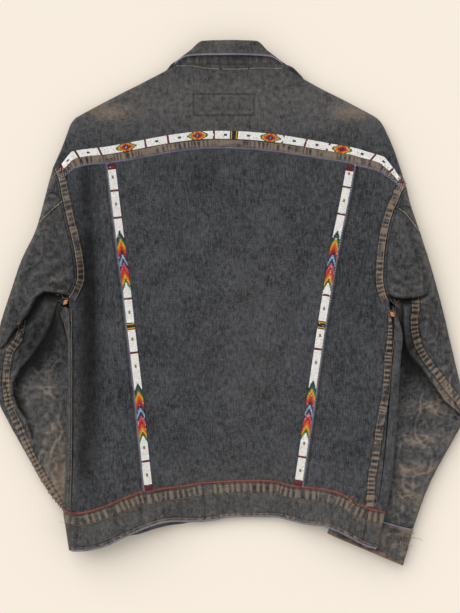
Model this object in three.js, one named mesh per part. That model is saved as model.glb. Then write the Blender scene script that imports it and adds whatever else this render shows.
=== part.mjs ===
import * as THREE from 'three';

// Denim jacket laid flat on its front, back upwards, collar towards +Y.
// Millimetres, +Z up, the surface that it lies on is z = 0. Left and right
// are the wearer's, so the left sleeve is at -X. Every cut piece is a thin
// closed wall. A piece is a function of two coordinates, sampled on a grid,
// with the cloth's thickness added inwards.

// ---------------------------------------------------------------- sizes
const CLOTH = 1.6;          // wall of one layer of denim
const DOUBLE = 2.4;         // waistband, cuffs, plackets: folded double
const INSET = 0.17;         // each piece stops this far short of its seam line
const ROLL = 7;             // half-width over which a folded side turns over
const SLEEVE_ROLL = 9;
const BODY_TOP = 12.5;      // height of the back over the front, mid body
const FOREARM_LIFT = 22;    // the body's rise over the tucked forearms
const NECK_LIFT = 6.5;      // the fronts' rise over the turned-down collar
const PLACKET_LIFT = 4.6;   // the plackets' rise over the buttons
const SHOULDER_RISE = 9;    // extra height of the back at the armholes
const FRONT_GAP = 3.5;      // half of the gap between the two front edges
const PLACKET_WIDTH = 40;
const BAND_WIDTH = 11.6;    // woven seed-bead bands
const BAND_LOW = 12.6;      // yoke band: distance of its lower edge from the yoke seam
const BEAD_THICK = 1.3;
const BEAD_GAP = 0.3;
const ARM_GAP = 1.5;       // the sleeve's first ring stands this far off the armhole
const YOKE_WRAP = 6;        // how far the yoke turns under at the shoulder fold
const BUTTON_R = 8.5;
const BUTTON_H = 3.4;
const SHIFT_X = 0;          // puts the middle of the box over the origin
const SHIFT_Y = 0;

// ---------------------------------------------------------------- tables
function table(columns, rows) {
  const t = {};
  columns.split(' ').forEach((name, i) => { t[name] = rows.map((r) => r[i]); });
  return t;
}

// folded sides of the body, hem to armpit
const BODY_LEFT = table('y x', [
  [-371.9, -229.8], [-354.5, -231.3], [-340, -235.6], [-321.2, -239.2],
  [-299.4, -240], [-284.9, -237.8], [-212.4, -234.9], [-139.9, -233.4],
  [-96.4, -232], [-60.2, -232], [-38.4, -236.3], [-18.1, -241.4], [-2.2, -243.6]]);
const BODY_RIGHT = table('y x', [
  [-371.9, 213.9], [-353.1, 217.5], [-329.9, 223.2], [-308.1, 225.8],
  [-289.3, 230.5], [-255.9, 235.6], [-197.9, 242.2], [-145.7, 245.8],
  [-105.1, 247.2], [-70.3, 250.1], [-48.6, 252], [-35.5, 250.5],
  [-19.6, 246.5], [-3.6, 242.9]]);
// side seams, on the upper face just inside the folds
const SEAM_LEFT = table('y x', [
  [-302.3, -229.8], [-284.9, -226.9], [-226.9, -224.8], [-139.9, -224],
  [-60.2, -224], [-31.2, -227.7], [-9.4, -230.5], [3.6, -232]]);
const SEAM_RIGHT = table('y x', [
  [-302.3, 212.2], [-284.9, 216.4], [-212.4, 224.9], [-145.7, 230],
  [-105.1, 232.4], [-63.1, 236.4], [-35.5, 236.9], [-16.7, 236.3], [-0.7, 235.6]]);
// armholes, w = 0 at the shoulder tip, 1 at the armpit
const ARM_LEFT = table('w x y', [
  [0, -254.5, 199.4], [0.045, -250.8, 190.7], [0.11, -246.5, 179.1],
  [0.25, -240.6, 150.1], [0.45, -231.3, 109.5], [0.63, -223.2, 73.2],
  [0.79, -219.7, 39.9], [0.88, -224.8, 22.5], [0.94, -231.3, 10.9],
  [0.975, -237.1, 2.9], [1, -243.6, -2.2]]);
const ARM_RIGHT = table('w x y', [
  [0, 258.1, 170.4], [0.03, 255.2, 166], [0.07, 250.8, 160.2],
  [0.14, 245.8, 147.2], [0.21, 239.5, 134.1], [0.32, 233.4, 113.8],
  [0.42, 229.8, 96.4], [0.5, 227.4, 81.9], [0.61, 225.5, 61.6],
  [0.77, 224.8, 34.1], [0.87, 228.4, 15.2], [0.95, 234.2, 3.6],
  [1, 242.9, -3.6]]);
// shoulder folds, armhole to neck
const SHOULDER_LEFT = table('k x y', [
  [0, -254.5, 199.4], [1, -248.7, 212.4], [2, -242.9, 225.5], [3, -234.2, 248.7],
  [4, -229.8, 260.3], [5, -222.6, 269.7], [6, -215.3, 274.1], [7, -186.3, 290],
  [8, -157.3, 305.2], [9, -128.3, 319.7], [10, -99.3, 334.2], [11, -81.9, 343.6]]);
const SHOULDER_RIGHT = table('k x y', [
  [0, 89.2, 340], [1, 103.7, 329.9], [2, 132.7, 313.9], [3, 161.7, 299.4],
  [4, 190.7, 284.2], [5, 205.2, 276.2], [6, 216.8, 269], [7, 224, 260.3],
  [8, 231.3, 245.8], [9, 240, 225.5], [10, 248.7, 200.8], [11, 258.1, 170.4]]);
const NECK_BACK = table('k x y', [
  [0, -77.6, 346.3], [1, -54.4, 346.3], [2, -25.4, 342.3], [3, 12.3, 341.5],
  [4, 42.8, 343.1], [5, 80.5, 342.3]]);
// front neckline on the under face, as a distance from the middle line
const NECK_FRONT = table('x y', [
  [3.5, 268], [20, 271], [43.5, 280], [58, 293], [70, 310], [79, 329]]);
const YOKE_SEAM = table('x y', [
  [-246.5, 179.1], [-234.2, 188.8], [-221.8, 197.2], [-209.5, 201],
  [-193.6, 203.1], [-174.7, 204.6], [-153, 207.8], [-118.2, 214.2],
  [-83.4, 220.4], [-47.9, 224.9], [-19.6, 226.5], [16.7, 225.8],
  [42.8, 224], [70.3, 221.1], [99.3, 216.8], [135.6, 211], [172.5, 205.2],
  [187.8, 200.8], [209.5, 195], [228.4, 186.3], [242.9, 175.4], [253.8, 164.6]]);
const WAIST_SEAM = table('x y', [
  [-242.2, -295.9], [-232.7, -300.9], [-221.1, -303.5], [-199.4, -299.9],
  [-180.5, -294.1], [-158.8, -284.9], [-139.9, -277.4], [-125.4, -273],
  [-113.8, -272.2], [-97.9, -269], [-70.3, -266.8], [-42, -262.2],
  [-5.1, -259.6], [16.7, -258.4], [42.8, -258.1], [70.3, -260],
  [90.6, -265.1], [108, -267.2], [135.6, -269.3], [154.4, -273],
  [170.4, -279.1], [189.2, -290], [205.2, -297.2], [226.9, -301.6]]);
const HEM = table('x y', [
  [-231.3, -356], [-221.1, -357.9], [-208.1, -357.4], [-193.6, -355.2],
  [-171.8, -348.7], [-157.3, -341.5], [-142.8, -334.7], [-128.3, -328.4],
  [-112.4, -322.6], [-93.5, -317.7], [-77.6, -316.5], [-61.6, -317.4],
  [-41.3, -317.7], [-19.6, -315.4], [2.2, -311.5], [31.2, -310.7],
  [67.4, -311], [90.6, -315.8], [113.8, -320.6], [135.6, -322.3],
  [154.4, -328.4], [172.5, -336.8], [187.8, -345.5], [205.2, -352.8],
  [216.8, -354.5]]);
// middle lines of the two slanting bead strips
const STRIP_LEFT = table('y x', [
  [-271.9, -115.3], [-203.7, -122.8], [-143.8, -129], [-86.3, -135.6],
  [-30.4, -142.2], [26.8, -148.6], [84.1, -155.9], [144.3, -163.4], [203.7, -170.4]]);
const STRIP_RIGHT = table('y x', [
  [-267.5, 100.8], [-211.8, 108.9], [-152.2, 117.9], [-98.5, 125.4],
  [-36.1, 134.7], [23.5, 144], [81.9, 154], [139.9, 166], [202.3, 177.6]]);
// inner edges of the forearms and cuffs under the body
const UNDER_LEFT = table('y x', [
  [-360, -104], [-315, -118], [-269, -134], [-211, -159], [-167, -179],
  [-127, -198], [-93, -214], [-66, -227], [-46, -237], [-33, -243.6]]);
const UNDER_RIGHT = table('y x', [
  [-372, 131], [-334, 144], [-295, 157], [-263, 164.6], [-225.5, 174.7],
  [-192, 185], [-162, 195], [-136, 205], [-112, 215], [-90.6, 225.5],
  [-70, 235.6], [-51.5, 244], [-36, 248.7]]);
// sleeve rings: outer edge o, inner edge i, heights, and the two sleeve seams
// as ring coordinates (0 outer edge, 1 inner edge, 2 outer edge again below)
const SLEEVE_LEFT = table('s ox oy ix iy base top q1 q2', [
  [0, -254.5, 199.4, -243.6, -2.2, 0, 21, 0.25, 1],
  [1, -263.2, 167.5, -245, -6.5, 0, 23, 0.05, 0.985],
  [2, -279.1, 109.5, -246.5, -10.9, 0, 25, -0.12, 0.95],
  [3, -300.9, 63.1, -247.2, -16.7, 0, 26, -0.25, 0.86],
  [4, -316.8, 16.7, -246.5, -23.9, 0, 26, -0.36, 0.6],
  [5, -331.3, -28.3, -243.6, -32.6, 0, 24, -0.46, 0.35],
  [6, -340.8, -67.4, -237.1, -45.7, 0, 22, -0.56, 0.28],
  [7, -343.4, -102.2, -226.9, -66, 0, 20.4, -0.65, 0.18],
  [8, -335.7, -139.9, -213.9, -93.5, 0, 20, -0.72, 0.13],
  [9, -319, -174.7, -197.9, -126.9, 0, 20, -0.78, 0.11],
  [10, -296.5, -215.3, -179.1, -167.5, 0, 20, -0.83, 0.07],
  [11, -273.3, -255.2, -158.8, -211, 0, 20, -0.87, 0.05],
  [12, -251.6, -287.1, -142.8, -248.7, 1.5, 19.2, -0.9, 0.04],
  [13, -237.1, -303.8, -134.1, -269, 4, 18.2, -0.92, 0.04]]);
const SLEEVE_RIGHT = table('s ox oy ix iy base top q1 q2', [
  [0, 258.1, 170.4, 242.9, -3.6, 0, 21, 0.2, 1],
  [1, 264.6, 144.3, 244.3, -7.2, 0, 23, 0.04, 0.985],
  [2, 276.2, 109.5, 246.5, -11.6, 0, 25, -0.12, 0.94],
  [3, 291.4, 63.1, 248.4, -17.4, 0, 26, -0.25, 0.82],
  [4, 303.1, 22.5, 249.4, -25.4, 0, 26, -0.36, 0.6],
  [5, 313.9, -18.1, 248.7, -36.2, 0, 24, -0.46, 0.66],
  [6, 324.1, -61.6, 244.3, -51.5, 0, 22, -0.56, 0.62],
  [7, 334.9, -106.6, 235.6, -70.3, 0, 20.4, -0.65, 0.46],
  [8, 342.3, -134.1, 225.5, -90.6, 0, 20, -0.72, 0.29],
  [9, 344.4, -154.4, 215.3, -112.4, 0, 20, -0.77, 0.1],
  [10, 339.3, -174.7, 205.2, -135.6, 0, 20, -0.81, -0.02],
  [11, 327.7, -197.2, 195, -161.7, 0, 20, -0.84, -0.06],
  [12, 311.8, -225.5, 184.9, -192.1, 0, 20, -0.87, -0.08],
  [13, 295.8, -255.9, 174.7, -225.5, 0, 20, -0.89, -0.09],
  [14, 280.6, -292.2, 164.6, -263.2, 1.5, 20, -0.91, -0.1],
  [15, 269.7, -324.1, 157.3, -295.1, 4, 20, -0.92, -0.1]]);
const CUFF_LEFT = table('s ox oy ix iy base top', [
  [0, -235.6, -306.7, -134.1, -271.1, 4, 18.2], [1, -216.8, -348.7, -118.2, -315.4, 4, 17.6]]);
const CUFF_RIGHT = table('s ox oy ix iy base top', [
  [0, 269, -327.7, 156.6, -297.2, 4, 20], [1, 253.8, -380.6, 144.3, -334.2, 4, 19.6]]);
// largest folds of the back: soft troughs and ridges on three-point lines
const BACK_FOLDS = table('x0 y0 x1 y1 x2 y2 width rise', [
  [-208, 196, -195, -24, -218, -256, 13, -3.4],
  [-182, 170, -172, 0, -186, -230, 16, 1.6],
  [144, 190, 115, 34, 40, -233, 15, -1.6],
  [200, 150, 207, -60, 190, -270, 16, 1.8],
  [-18, -140, -4, -180, 11, -221, 12, -1.4],
  [60, 160, 72, 40, 52, -90, 20, 1.2]]);
// largest folds of the sleeves' upper faces
const LEFT_FOLDS = table('x0 y0 x1 y1 x2 y2 width rise', [
  [-240, 2, -266, 12, -284, -10, 7, -9],
  [-284, -10, -302, -34, -338, -74, 7, -8],
  [-235, 115, -250, 80, -273, 57, 14, -3],
  [-262, 10, -258, -40, -296, -96, 9, 4],
  [-280, -80, -296, -130, -268, -190, 12, -4]]);
const RIGHT_FOLDS = table('x0 y0 x1 y1 x2 y2 width rise', [
  [233, 12, 254, 2, 284, 8, 7, -7],
  [254, 0, 256, -50, 300, -122, 8, -9],
  [249, 127, 268, 60, 292, -20, 14, 3.4],
  [284, 8, 292, -40, 282, -70, 10, 3],
  [300, -160, 262, -240, 236, -300, 14, -3]]);
// collar: neck seam n, roll line f and free edge e, round the neck from the
// left front end to the right; z is the height of the cloth's middle
const COLLAR = table('t nx ny nz fx fy fz ex ey ez', [
  [0, -12.6, 273.4, 6, -11, 282, 5.2, -72, 226, 2.7],
  [1, -34.4, 280, 6, -32, 289, 5.2, -99, 262, 2.7],
  [2, -52.6, 296.4, 6, -52, 306, 5.2, -108, 292, 2.7],
  [3, -67.8, 318.6, 6.6, -70, 328, 5.4, -104, 316, 2.8],
  [3.6, -73.4, 331, 8.6, -77, 337, 6, -95, 326, 3.2],
  [4, -75.6, 341.5, 11, -85.6, 342.5, 13, -88.5, 335, 3.6],
  [5, -77, 348.4, 16, -71, 355, 20, -74, 351, 18],
  [6, -62, 348.2, 19.2, -54.5, 367.5, 22.6, -59, 358, 22],
  [7, -38, 345.8, 19.6, -37, 380.4, 23.4, -38, 359.4, 23.4],
  [8, 0, 343.6, 19.6, 0, 381.6, 23.4, 0, 359.8, 23.6],
  [9, 40, 344.9, 19.6, 39.5, 380.4, 23.4, 40, 359, 23.4],
  [10, 64, 344.8, 19.2, 56.5, 366.5, 22.6, 60, 357.4, 22],
  [11, 80, 344.6, 16, 72.6, 354.5, 20, 75, 350, 18],
  [12, 77.5, 339.5, 11, 88.2, 340.5, 13, 90, 333, 3.6],
  [12.4, 73.4, 331, 8.6, 77, 335, 6, 95, 324, 3.2],
  [13, 67.8, 318.6, 6.6, 70, 326, 5.4, 104, 316, 2.8],
  [14, 52.6, 296.4, 6, 52, 306, 5.2, 108, 292, 2.7],
  [15, 34.4, 280, 6, 32, 289, 5.2, 99, 262, 2.7],
  [16, 12.6, 273.4, 6, 11, 282, 5.2, 72, 226, 2.7]]);
const FRONT_BUTTONS = [215, 125, 35, -55, -145, -225];   // y of each
const BUTTON_X = 22;

// ---------------------------------------------------------------- helpers
const clamp = (v, a = 0, b = 1) => Math.min(b, Math.max(a, v));
const mix = (a, b, k) => a + (b - a) * k;
const smooth = (a, b, v) => { const k = clamp((v - a) / (b - a)); return k * k * (3 - 2 * k); };

// monotone cubic through a table's rows, straight beyond its ends
function curve(t, key, val) {
  let xs = t[key], ys = t[val];
  if (xs[0] > xs[xs.length - 1]) { xs = [...xs].reverse(); ys = [...ys].reverse(); }
  const n = xs.length;
  const h = [], d = [], m = [];
  for (let i = 0; i < n - 1; i++) { h.push(xs[i + 1] - xs[i]); d.push((ys[i + 1] - ys[i]) / h[i]); }
  for (let i = 0; i < n; i++) {
    if (i === 0) m.push(d[0]);
    else if (i === n - 1) m.push(d[n - 2]);
    else if (d[i - 1] * d[i] <= 0) m.push(0);
    else {
      const a = 2 * h[i] + h[i - 1], b = h[i] + 2 * h[i - 1];
      m.push((a + b) / (a / d[i - 1] + b / d[i]));
    }
  }
  return (x) => {
    if (x <= xs[0]) return ys[0] + m[0] * (x - xs[0]);
    if (x >= xs[n - 1]) return ys[n - 1] + m[n - 1] * (x - xs[n - 1]);
    let i = 0;
    while (x > xs[i + 1]) i++;
    const k = (x - xs[i]) / h[i], k2 = k * k, k3 = k2 * k;
    return (2 * k3 - 3 * k2 + 1) * ys[i] + (k3 - 2 * k2 + k) * h[i] * m[i]
      + (3 * k2 - 2 * k3) * ys[i + 1] + (k3 - k2) * h[i] * m[i + 1];
  };
}
const path = (f, a, b, n) => Array.from({ length: n + 1 }, (_, i) => f(mix(a, b, i / n)));

function segment(x, y, p, q) {
  const dx = q[0] - p[0], dy = q[1] - p[1];
  const k = clamp(((x - p[0]) * dx + (y - p[1]) * dy) / (dx * dx + dy * dy));
  return { d: Math.hypot(x - p[0] - k * dx, y - p[1] - k * dy), k };
}
function distance(x, y, line) {
  let best = Infinity;
  for (let i = 0; i + 1 < line.length; i++) best = Math.min(best, segment(x, y, line[i], line[i + 1]).d);
  return best;
}
// a line of points as a function of the share of its length
function along(line) {
  const at = [0];
  for (let i = 1; i < line.length; i++) {
    at.push(at[i - 1] + Math.hypot(line[i][0] - line[i - 1][0], line[i][1] - line[i - 1][1]));
  }
  const total = at[at.length - 1];
  const f = (k) => {
    const d = k * total;
    let i = 0;
    while (i < line.length - 2 && d > at[i + 1]) i++;
    const e = (d - at[i]) / (at[i + 1] - at[i]);
    return [mix(line[i][0], line[i + 1][0], e), mix(line[i][1], line[i + 1][1], e)];
  };
  f.total = total;
  return f;
}
function folds(x, y, t) {
  let z = 0;
  for (let i = 0; i < t.x0.length; i++) {
    const a = [t.x0[i], t.y0[i]], b = [t.x1[i], t.y1[i]], c = [t.x2[i], t.y2[i]];
    const f = segment(x, y, a, b), g = segment(x, y, b, c);
    const d = Math.min(f.d, g.d), k = f.d < g.d ? f.k / 2 : 0.5 + g.k / 2;
    z += t.rise[i] * Math.exp(-((d / t.width[i]) ** 2)) * Math.sin(Math.PI * clamp(0.12 + 0.76 * k));
  }
  return z;
}
const roll = (d, r) => { const k = 1 - clamp(d / r); return Math.sqrt(Math.max(0, 1 - k * k)); };

// ---------------------------------------------------------------- body form
const bodyLeft = curve(BODY_LEFT, 'y', 'x'), bodyRight = curve(BODY_RIGHT, 'y', 'x');
const seamLeft = curve(SEAM_LEFT, 'y', 'x'), seamRight = curve(SEAM_RIGHT, 'y', 'x');
const yokeSeam = curve(YOKE_SEAM, 'x', 'y');
const waistSeam = curve(WAIST_SEAM, 'x', 'y'), hemLine = curve(HEM, 'x', 'y');
const stripLeft = curve(STRIP_LEFT, 'y', 'x'), stripRight = curve(STRIP_RIGHT, 'y', 'x');
const underLeft = curve(UNDER_LEFT, 'y', 'x'), underRight = curve(UNDER_RIGHT, 'y', 'x');
const neckFront = curve(NECK_FRONT, 'x', 'y');
const xy = (t, key) => { const fx = curve(t, key, 'x'), fy = curve(t, key, 'y'); return (k) => [fx(k), fy(k)]; };
const armLeft = xy(ARM_LEFT, 'w'), armRight = xy(ARM_RIGHT, 'w');
const ARMPIT_LEFT = -2.2, ARMPIT_RIGHT = -3.6;

const sideLeft = path((y) => [bodyLeft(y), y], -371.9, ARMPIT_LEFT, 60);
const sideRight = path((y) => [bodyRight(y), y], -371.9, ARMPIT_RIGHT, 60);
const shoulderLeft = path(xy(SHOULDER_LEFT, 'k'), 0, 11, 44);
const shoulderRight = path(xy(SHOULDER_RIGHT, 'k'), 0, 11, 44);
const FOLDED = [sideLeft, sideRight, shoulderLeft, shoulderRight];

// 1 over a tucked forearm, 0 away from it
function overForearm(x, y, inside, outside) {
  const s = x < 0
    ? 1 - smooth(underLeft(y) + inside, underLeft(y) + outside, x)
    : smooth(underRight(y) - outside, underRight(y) - inside, x);
  return s * (1 - smooth(-50, 12, y));
}
function underside(x, y) {
  const placket = 1 - smooth(24, 46, Math.abs(x));
  const neck = (1 - smooth(112, 136, Math.abs(x))) * smooth(196, 226, y);
  return FOREARM_LIFT * overForearm(x, y, 14, 54) + Math.max(PLACKET_LIFT * placket, NECK_LIFT * neck);
}
function upperside(x, y) {
  const shoulder = smooth(110, 235, Math.abs(x)) * smooth(-70, 70, y);
  const neck = (1 - smooth(90, 190, Math.abs(x))) * smooth(150, 250, y);
  return BODY_TOP + FOREARM_LIFT * overForearm(x, y, -25, 92) + SHOULDER_RISE * shoulder
    + NECK_LIFT * neck + folds(x, y, BACK_FOLDS);
}
// side +1 is the back, -1 the front; both meet where the body is folded
function bodyZ(x, y, side) {
  const top = upperside(x, y), low = underside(x, y);
  let d = Infinity;
  for (const line of FOLDED) d = Math.min(d, distance(x, y, line));
  return (top + low) / 2 + side * (top - low) / 2 * roll(d, ROLL);
}

// ---------------------------------------------------------------- solids
const sub = (a, b) => [a[0] - b[0], a[1] - b[1], a[2] - b[2]];
function normal(f, u, v, e = 1e-3) {
  const a = sub(f(u + e, v), f(u - e, v)), b = sub(f(u, v + e), f(u, v - e));
  const n = [a[1] * b[2] - a[2] * b[1], a[2] * b[0] - a[0] * b[2], a[0] * b[1] - a[1] * b[0]];
  const l = Math.hypot(...n) || 1;
  return n.map((c) => c / l);
}
// closed wall: the outer face f(u, v) on a grid, the inner face one thickness
// inwards, and the four edges between them; way is +1 where du x dv faces out
function wall(f, us, vs, thick, way = 1, out = 0, from = -Infinity) {
  const nu = us.length, nv = vs.length, pos = [], idx = [];
  for (const depth of [out, out - thick]) {
    for (const u of us) {
      for (const v of vs) {
        const p = f(u, v), n = normal(f, u, Math.max(v, from));
        for (let k = 0; k < 3; k++) pos.push(p[k] + way * n[k] * depth);
      }
    }
  }
  const at = (i, j) => i * nv + j, N = nu * nv;
  const tri = (a, b, c) => (way > 0 ? idx.push(a, b, c) : idx.push(a, c, b));
  for (let i = 0; i + 1 < nu; i++) {
    for (let j = 0; j + 1 < nv; j++) {
      const a = at(i, j), b = at(i + 1, j), c = at(i + 1, j + 1), d = at(i, j + 1);
      tri(a, b, c); tri(a, c, d);
      tri(a + N, c + N, b + N); tri(a + N, d + N, c + N);
    }
  }
  const rim = [];
  for (let i = 0; i + 1 < nu; i++) rim.push([at(i, 0), at(i + 1, 0)]);
  for (let j = 0; j + 1 < nv; j++) rim.push([at(nu - 1, j), at(nu - 1, j + 1)]);
  for (let i = nu - 1; i > 0; i--) rim.push([at(i, nv - 1), at(i - 1, nv - 1)]);
  for (let j = nv - 1; j > 0; j--) rim.push([at(0, j), at(0, j - 1)]);
  for (const [a, b] of rim) { tri(b, a, a + N); tri(b, a + N, b + N); }
  const g = new THREE.BufferGeometry();
  g.setAttribute('position', new THREE.Float32BufferAttribute(pos, 3));
  g.setIndex(idx);
  return g;
}
// share [0, 1] of a stretch, cut short by the seam inset at both ends
const cells = (n, length, inset = INSET) => Array.from({ length: n + 1 }, (_, i) => {
  const e = inset / length;
  return e + (1 - 2 * e) * i / n;
});
function coons(L, R, B, T) {
  const c00 = B(0), c10 = B(1), c01 = T(0), c11 = T(1);
  return (u, v) => {
    const l = L(v), r = R(v), b = B(u), t = T(u);
    return [0, 1].map((k) => (1 - u) * l[k] + u * r[k] + (1 - v) * b[k] + v * t[k]
      - ((1 - u) * (1 - v) * c00[k] + u * (1 - v) * c10[k] + (1 - u) * v * c01[k] + u * v * c11[k]));
  };
}

const jacket = new THREE.Group();
const DENIM = { color: 0x47484b, roughness: 0.92, metalness: 0 };
const WORN = { color: 0x6a6259, roughness: 0.93, metalness: 0 };
const BEADS = { color: 0xd8d5cf, roughness: 0.35, metalness: 0 };
const METAL = { color: 0x8a6a48, roughness: 0.4, metalness: 0.9 };
function add(name, geometry, look) {
  const mesh = new THREE.Mesh(geometry, new THREE.MeshStandardMaterial(look));
  mesh.name = name;
  mesh.position.set(SHIFT_X, SHIFT_Y, 0);
  jacket.add(mesh);
}

// ---------------------------------------------------------------- sleeve form
function sleeve(t, arm, wrinkles) {
  const c = {};
  for (const n of Object.keys(t)) c[n] = curve(t, 's', n);
  const O0 = [t.ox[0], t.oy[0]], I0 = [t.ix[0], t.iy[0]];
  const point = (s, q) => {
    const k = ((q % 2) + 2) % 2, up = k <= 1 ? 1 : -1, w = up > 0 ? k : 2 - k;
    const bend = arm ? 1 - smooth(0, 3.2, s) : 0;
    const a = arm ? arm(w) : [0, 0];
    const o = [c.ox(s), c.oy(s)], i = [c.ix(s), c.iy(s)];
    // the cloth spreads away from the armpit
    const e = arm ? w - 0.085 * smooth(0, 1, s) * (1 - smooth(3, 6, s)) * 17.6 * w ** 6 * (1 - w) : w;
    let x = mix(o[0], i[0], e) + (a[0] - mix(O0[0], I0[0], w)) * bend;
    let y = mix(o[1], i[1], e) + (a[1] - mix(O0[1], I0[1], w)) * bend;
    if (arm && bend > 0) {
      const b = arm(Math.min(1, w + 0.01)), d = arm(Math.max(0, w - 0.01));
      const l = Math.hypot(b[0] - d[0], b[1] - d[1]), side = Math.sign(O0[0]);
      x -= side * ARM_GAP * bend * (b[1] - d[1]) / l;
      y += side * ARM_GAP * bend * (b[0] - d[0]) / l;
    }
    const width = Math.hypot(i[0] - o[0], i[1] - o[1]);
    const base = c.base(s), top = c.top(s), r = roll(Math.min(w, 1 - w) * width, SLEEVE_ROLL);
    let z = (base + top) / 2 + up * (top - base) / 2 * r;
    if (up > 0 && wrinkles) z += folds(x, y, wrinkles) * smooth(0, 12, Math.min(w, 1 - w) * width);
    if (arm) {
      const join = smooth(0, 1.1, s);
      z = mix(bodyZ(a[0], a[1], up), z, join);
    }
    return [x, y, z];
  };
  // ring coordinate of a share of the ring's girth between two coordinates
  const share = (s, qa, qb, k) => {
    const n = 80, at = [0], qs = [qa];
    let p = point(s, qa);
    for (let i = 1; i <= n; i++) {
      const q = mix(qa, qb, i / n), r = point(s, q);
      at.push(at[i - 1] + Math.hypot(r[0] - p[0], r[1] - p[1], r[2] - p[2]));
      qs.push(q);
      p = r;
    }
    const d = k * at[n];
    let i = 0;
    while (i < n - 1 && d > at[i + 1]) i++;
    return mix(qs[i], qs[i + 1], (d - at[i]) / Math.max(1e-9, at[i + 1] - at[i]));
  };
  return { point, share, q1: c.q1, q2: c.q2 };
}
// sleeve panel between two seams, a little further from them at the armpit
const sleeveInset = (v) => 0.0032 + 0.009 * (1 - smooth(0.5, 2.5, v));
function panel(s, a, b) {
  return (u, v) => s.point(v, s.share(v, a(v), b(v), mix(sleeveInset(v), 1 - sleeveInset(v), u)));
}
const armOf = {
  left: { t: SLEEVE_LEFT, arm: armLeft, wrinkles: LEFT_FOLDS, cuff: CUFF_LEFT, last: 13, way: -1 },
  right: { t: SLEEVE_RIGHT, arm: armRight, wrinkles: RIGHT_FOLDS, cuff: CUFF_RIGHT, last: 15, way: 1 },
};
const BACK_SLEEVE_COLS = 8, FRONT_SLEEVE_COLS = 9;
const sleeveOf = {};
for (const [side, a] of Object.entries(armOf)) sleeveOf[side] = sleeve(a.t, a.arm, a.wrinkles);
// armhole shares of the sleeve's columns on the upper and the under face, so
// that the body's rows end opposite them
function armholeShares(side, upper) {
  const s = sleeveOf[side], list = [];
  for (const u of cells(BACK_SLEEVE_COLS, 1, sleeveInset(0))) list.push(s.share(0, s.q1(0), s.q2(0), u));
  for (const u of cells(FRONT_SLEEVE_COLS, 1, sleeveInset(0))) list.push(s.share(0, s.q2(0), s.q1(0) + 2, u));
  return list.map((q) => (q > 2 ? q - 2 : q)).filter((q) => (upper ? q <= 1 : q > 1))
    .map((q) => (q > 1 ? 2 - q : q)).sort((m, n) => n - m);
}

// ---------------------------------------------------------------- back
// seam lines beside the bead strips, and where they meet the other seams
const lineLeft = (y) => stripLeft(y) - BAND_WIDTH / 2, lineRight = (y) => stripRight(y) + BAND_WIDTH / 2;
function meet(fx, fy, y0) { let y = y0; for (let i = 0; i < 30; i++) y = fy(fx(y)); return y; }
const LOW_L = meet(lineLeft, waistSeam, -270), HIGH_L = meet(lineLeft, yokeSeam, 205);
const LOW_R = meet(lineRight, waistSeam, -270), HIGH_R = meet(lineRight, yokeSeam, 205);
const seamL = (v) => { const y = mix(LOW_L, HIGH_L, v); return [lineLeft(y), y]; };
const seamR = (v) => { const y = mix(LOW_R, HIGH_R, v); return [lineRight(y), y]; };
const span = (f, a, b) => (u) => { const x = mix(a, b, u); return [x, f(x)]; };

const centreXY = coons(seamL, seamR, span(waistSeam, seamL(0)[0], seamR(0)[0]),
  span(yokeSeam, seamL(1)[0], seamR(1)[0]));
// u is 0 to 1 over the left strip's width, 1 to 2 between the strips, 2 to 3
// over the right strip's width
function backCentre(u, v) {
  const w = seamR(v)[0] - seamL(v)[0], e = BAND_WIDTH / w;
  const k = u < 1 ? e * u : u < 2 ? mix(e, 1 - e, u - 1) : mix(1 - e, 1, u - 2);
  const [x, y] = centreXY(k, v);
  return [x, y, bodyZ(x, y, 1)];
}
const BACK_ROWS = cells(11, 480);
const e0 = INSET / BAND_WIDTH;
add('back_center', wall(backCentre, [e0, 1, ...Array.from({ length: 11 }, (_, i) => 1 + (i + 1) / 12), 2, 3 - e0],
  BACK_ROWS, CLOTH), DENIM);
for (const [name, u0] of [['bead_strip_left', 0], ['bead_strip_right', 2]]) {
  add(name, wall(backCentre, [u0 + (u0 ? 0.03 : e0 + 0.02), u0 + 1 - (u0 ? e0 + 0.02 : 0.03)], BACK_ROWS.map((v) => clamp(v, 0.004, 0.996)),
    BEAD_THICK, 1, BEAD_THICK + BEAD_GAP), BEADS);
}

// side backs run from the side seam, then the armhole, to the strip's seam
const SIDE_SPLIT = 0.645;
function sideOuter(seam, arm, low, wLow, wHigh) {
  const top = arm(wLow);
  return (v) => {
    if (v > SIDE_SPLIT) return arm(mix(wLow, wHigh, (v - SIDE_SPLIT) / (1 - SIDE_SPLIT)));
    const y = mix(low, top[1], v / SIDE_SPLIT);
    return [seam(y) + (top[0] - seam(top[1])) * smooth(-40, top[1], y), y];
  };
}
const outerL = sideOuter(seamLeft, armLeft, waistSeam(seamLeft(-302)), 0.95, 0.11);
const outerR = sideOuter(seamRight, armRight, waistSeam(seamRight(-299)), 0.94, 0.042);
const sideLXY = coons(outerL, seamL, span(waistSeam, outerL(0)[0], seamL(0)[0]), span(yokeSeam, outerL(1)[0], seamL(1)[0]));
const sideRXY = coons(seamR, outerR, span(waistSeam, seamR(0)[0], outerR(0)[0]), span(yokeSeam, seamR(1)[0], outerR(1)[0]));
const onBack = (f) => (u, v) => { const [x, y] = f(u, v); return [x, y, bodyZ(x, y, 1)]; };
const SIDE_COLS = cells(6, 95);
function sideRows(side, wLow, wHigh) {
  const high = armholeShares(side, true).filter((w) => w < wLow - 0.02 && w > wHigh + 0.02)
    .map((w) => SIDE_SPLIT + (1 - SIDE_SPLIT) * (w - wLow) / (wHigh - wLow));
  return [...cells(7, 480 * SIDE_SPLIT).slice(0, -1).map((v) => v * SIDE_SPLIT), SIDE_SPLIT, ...high.filter((v) => v > SIDE_SPLIT + 0.004), 1 - INSET / 480];
}
add('back_side_left', wall(onBack(sideLXY), SIDE_COLS, sideRows('left', 0.95, 0.11), CLOTH), DENIM);
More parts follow.
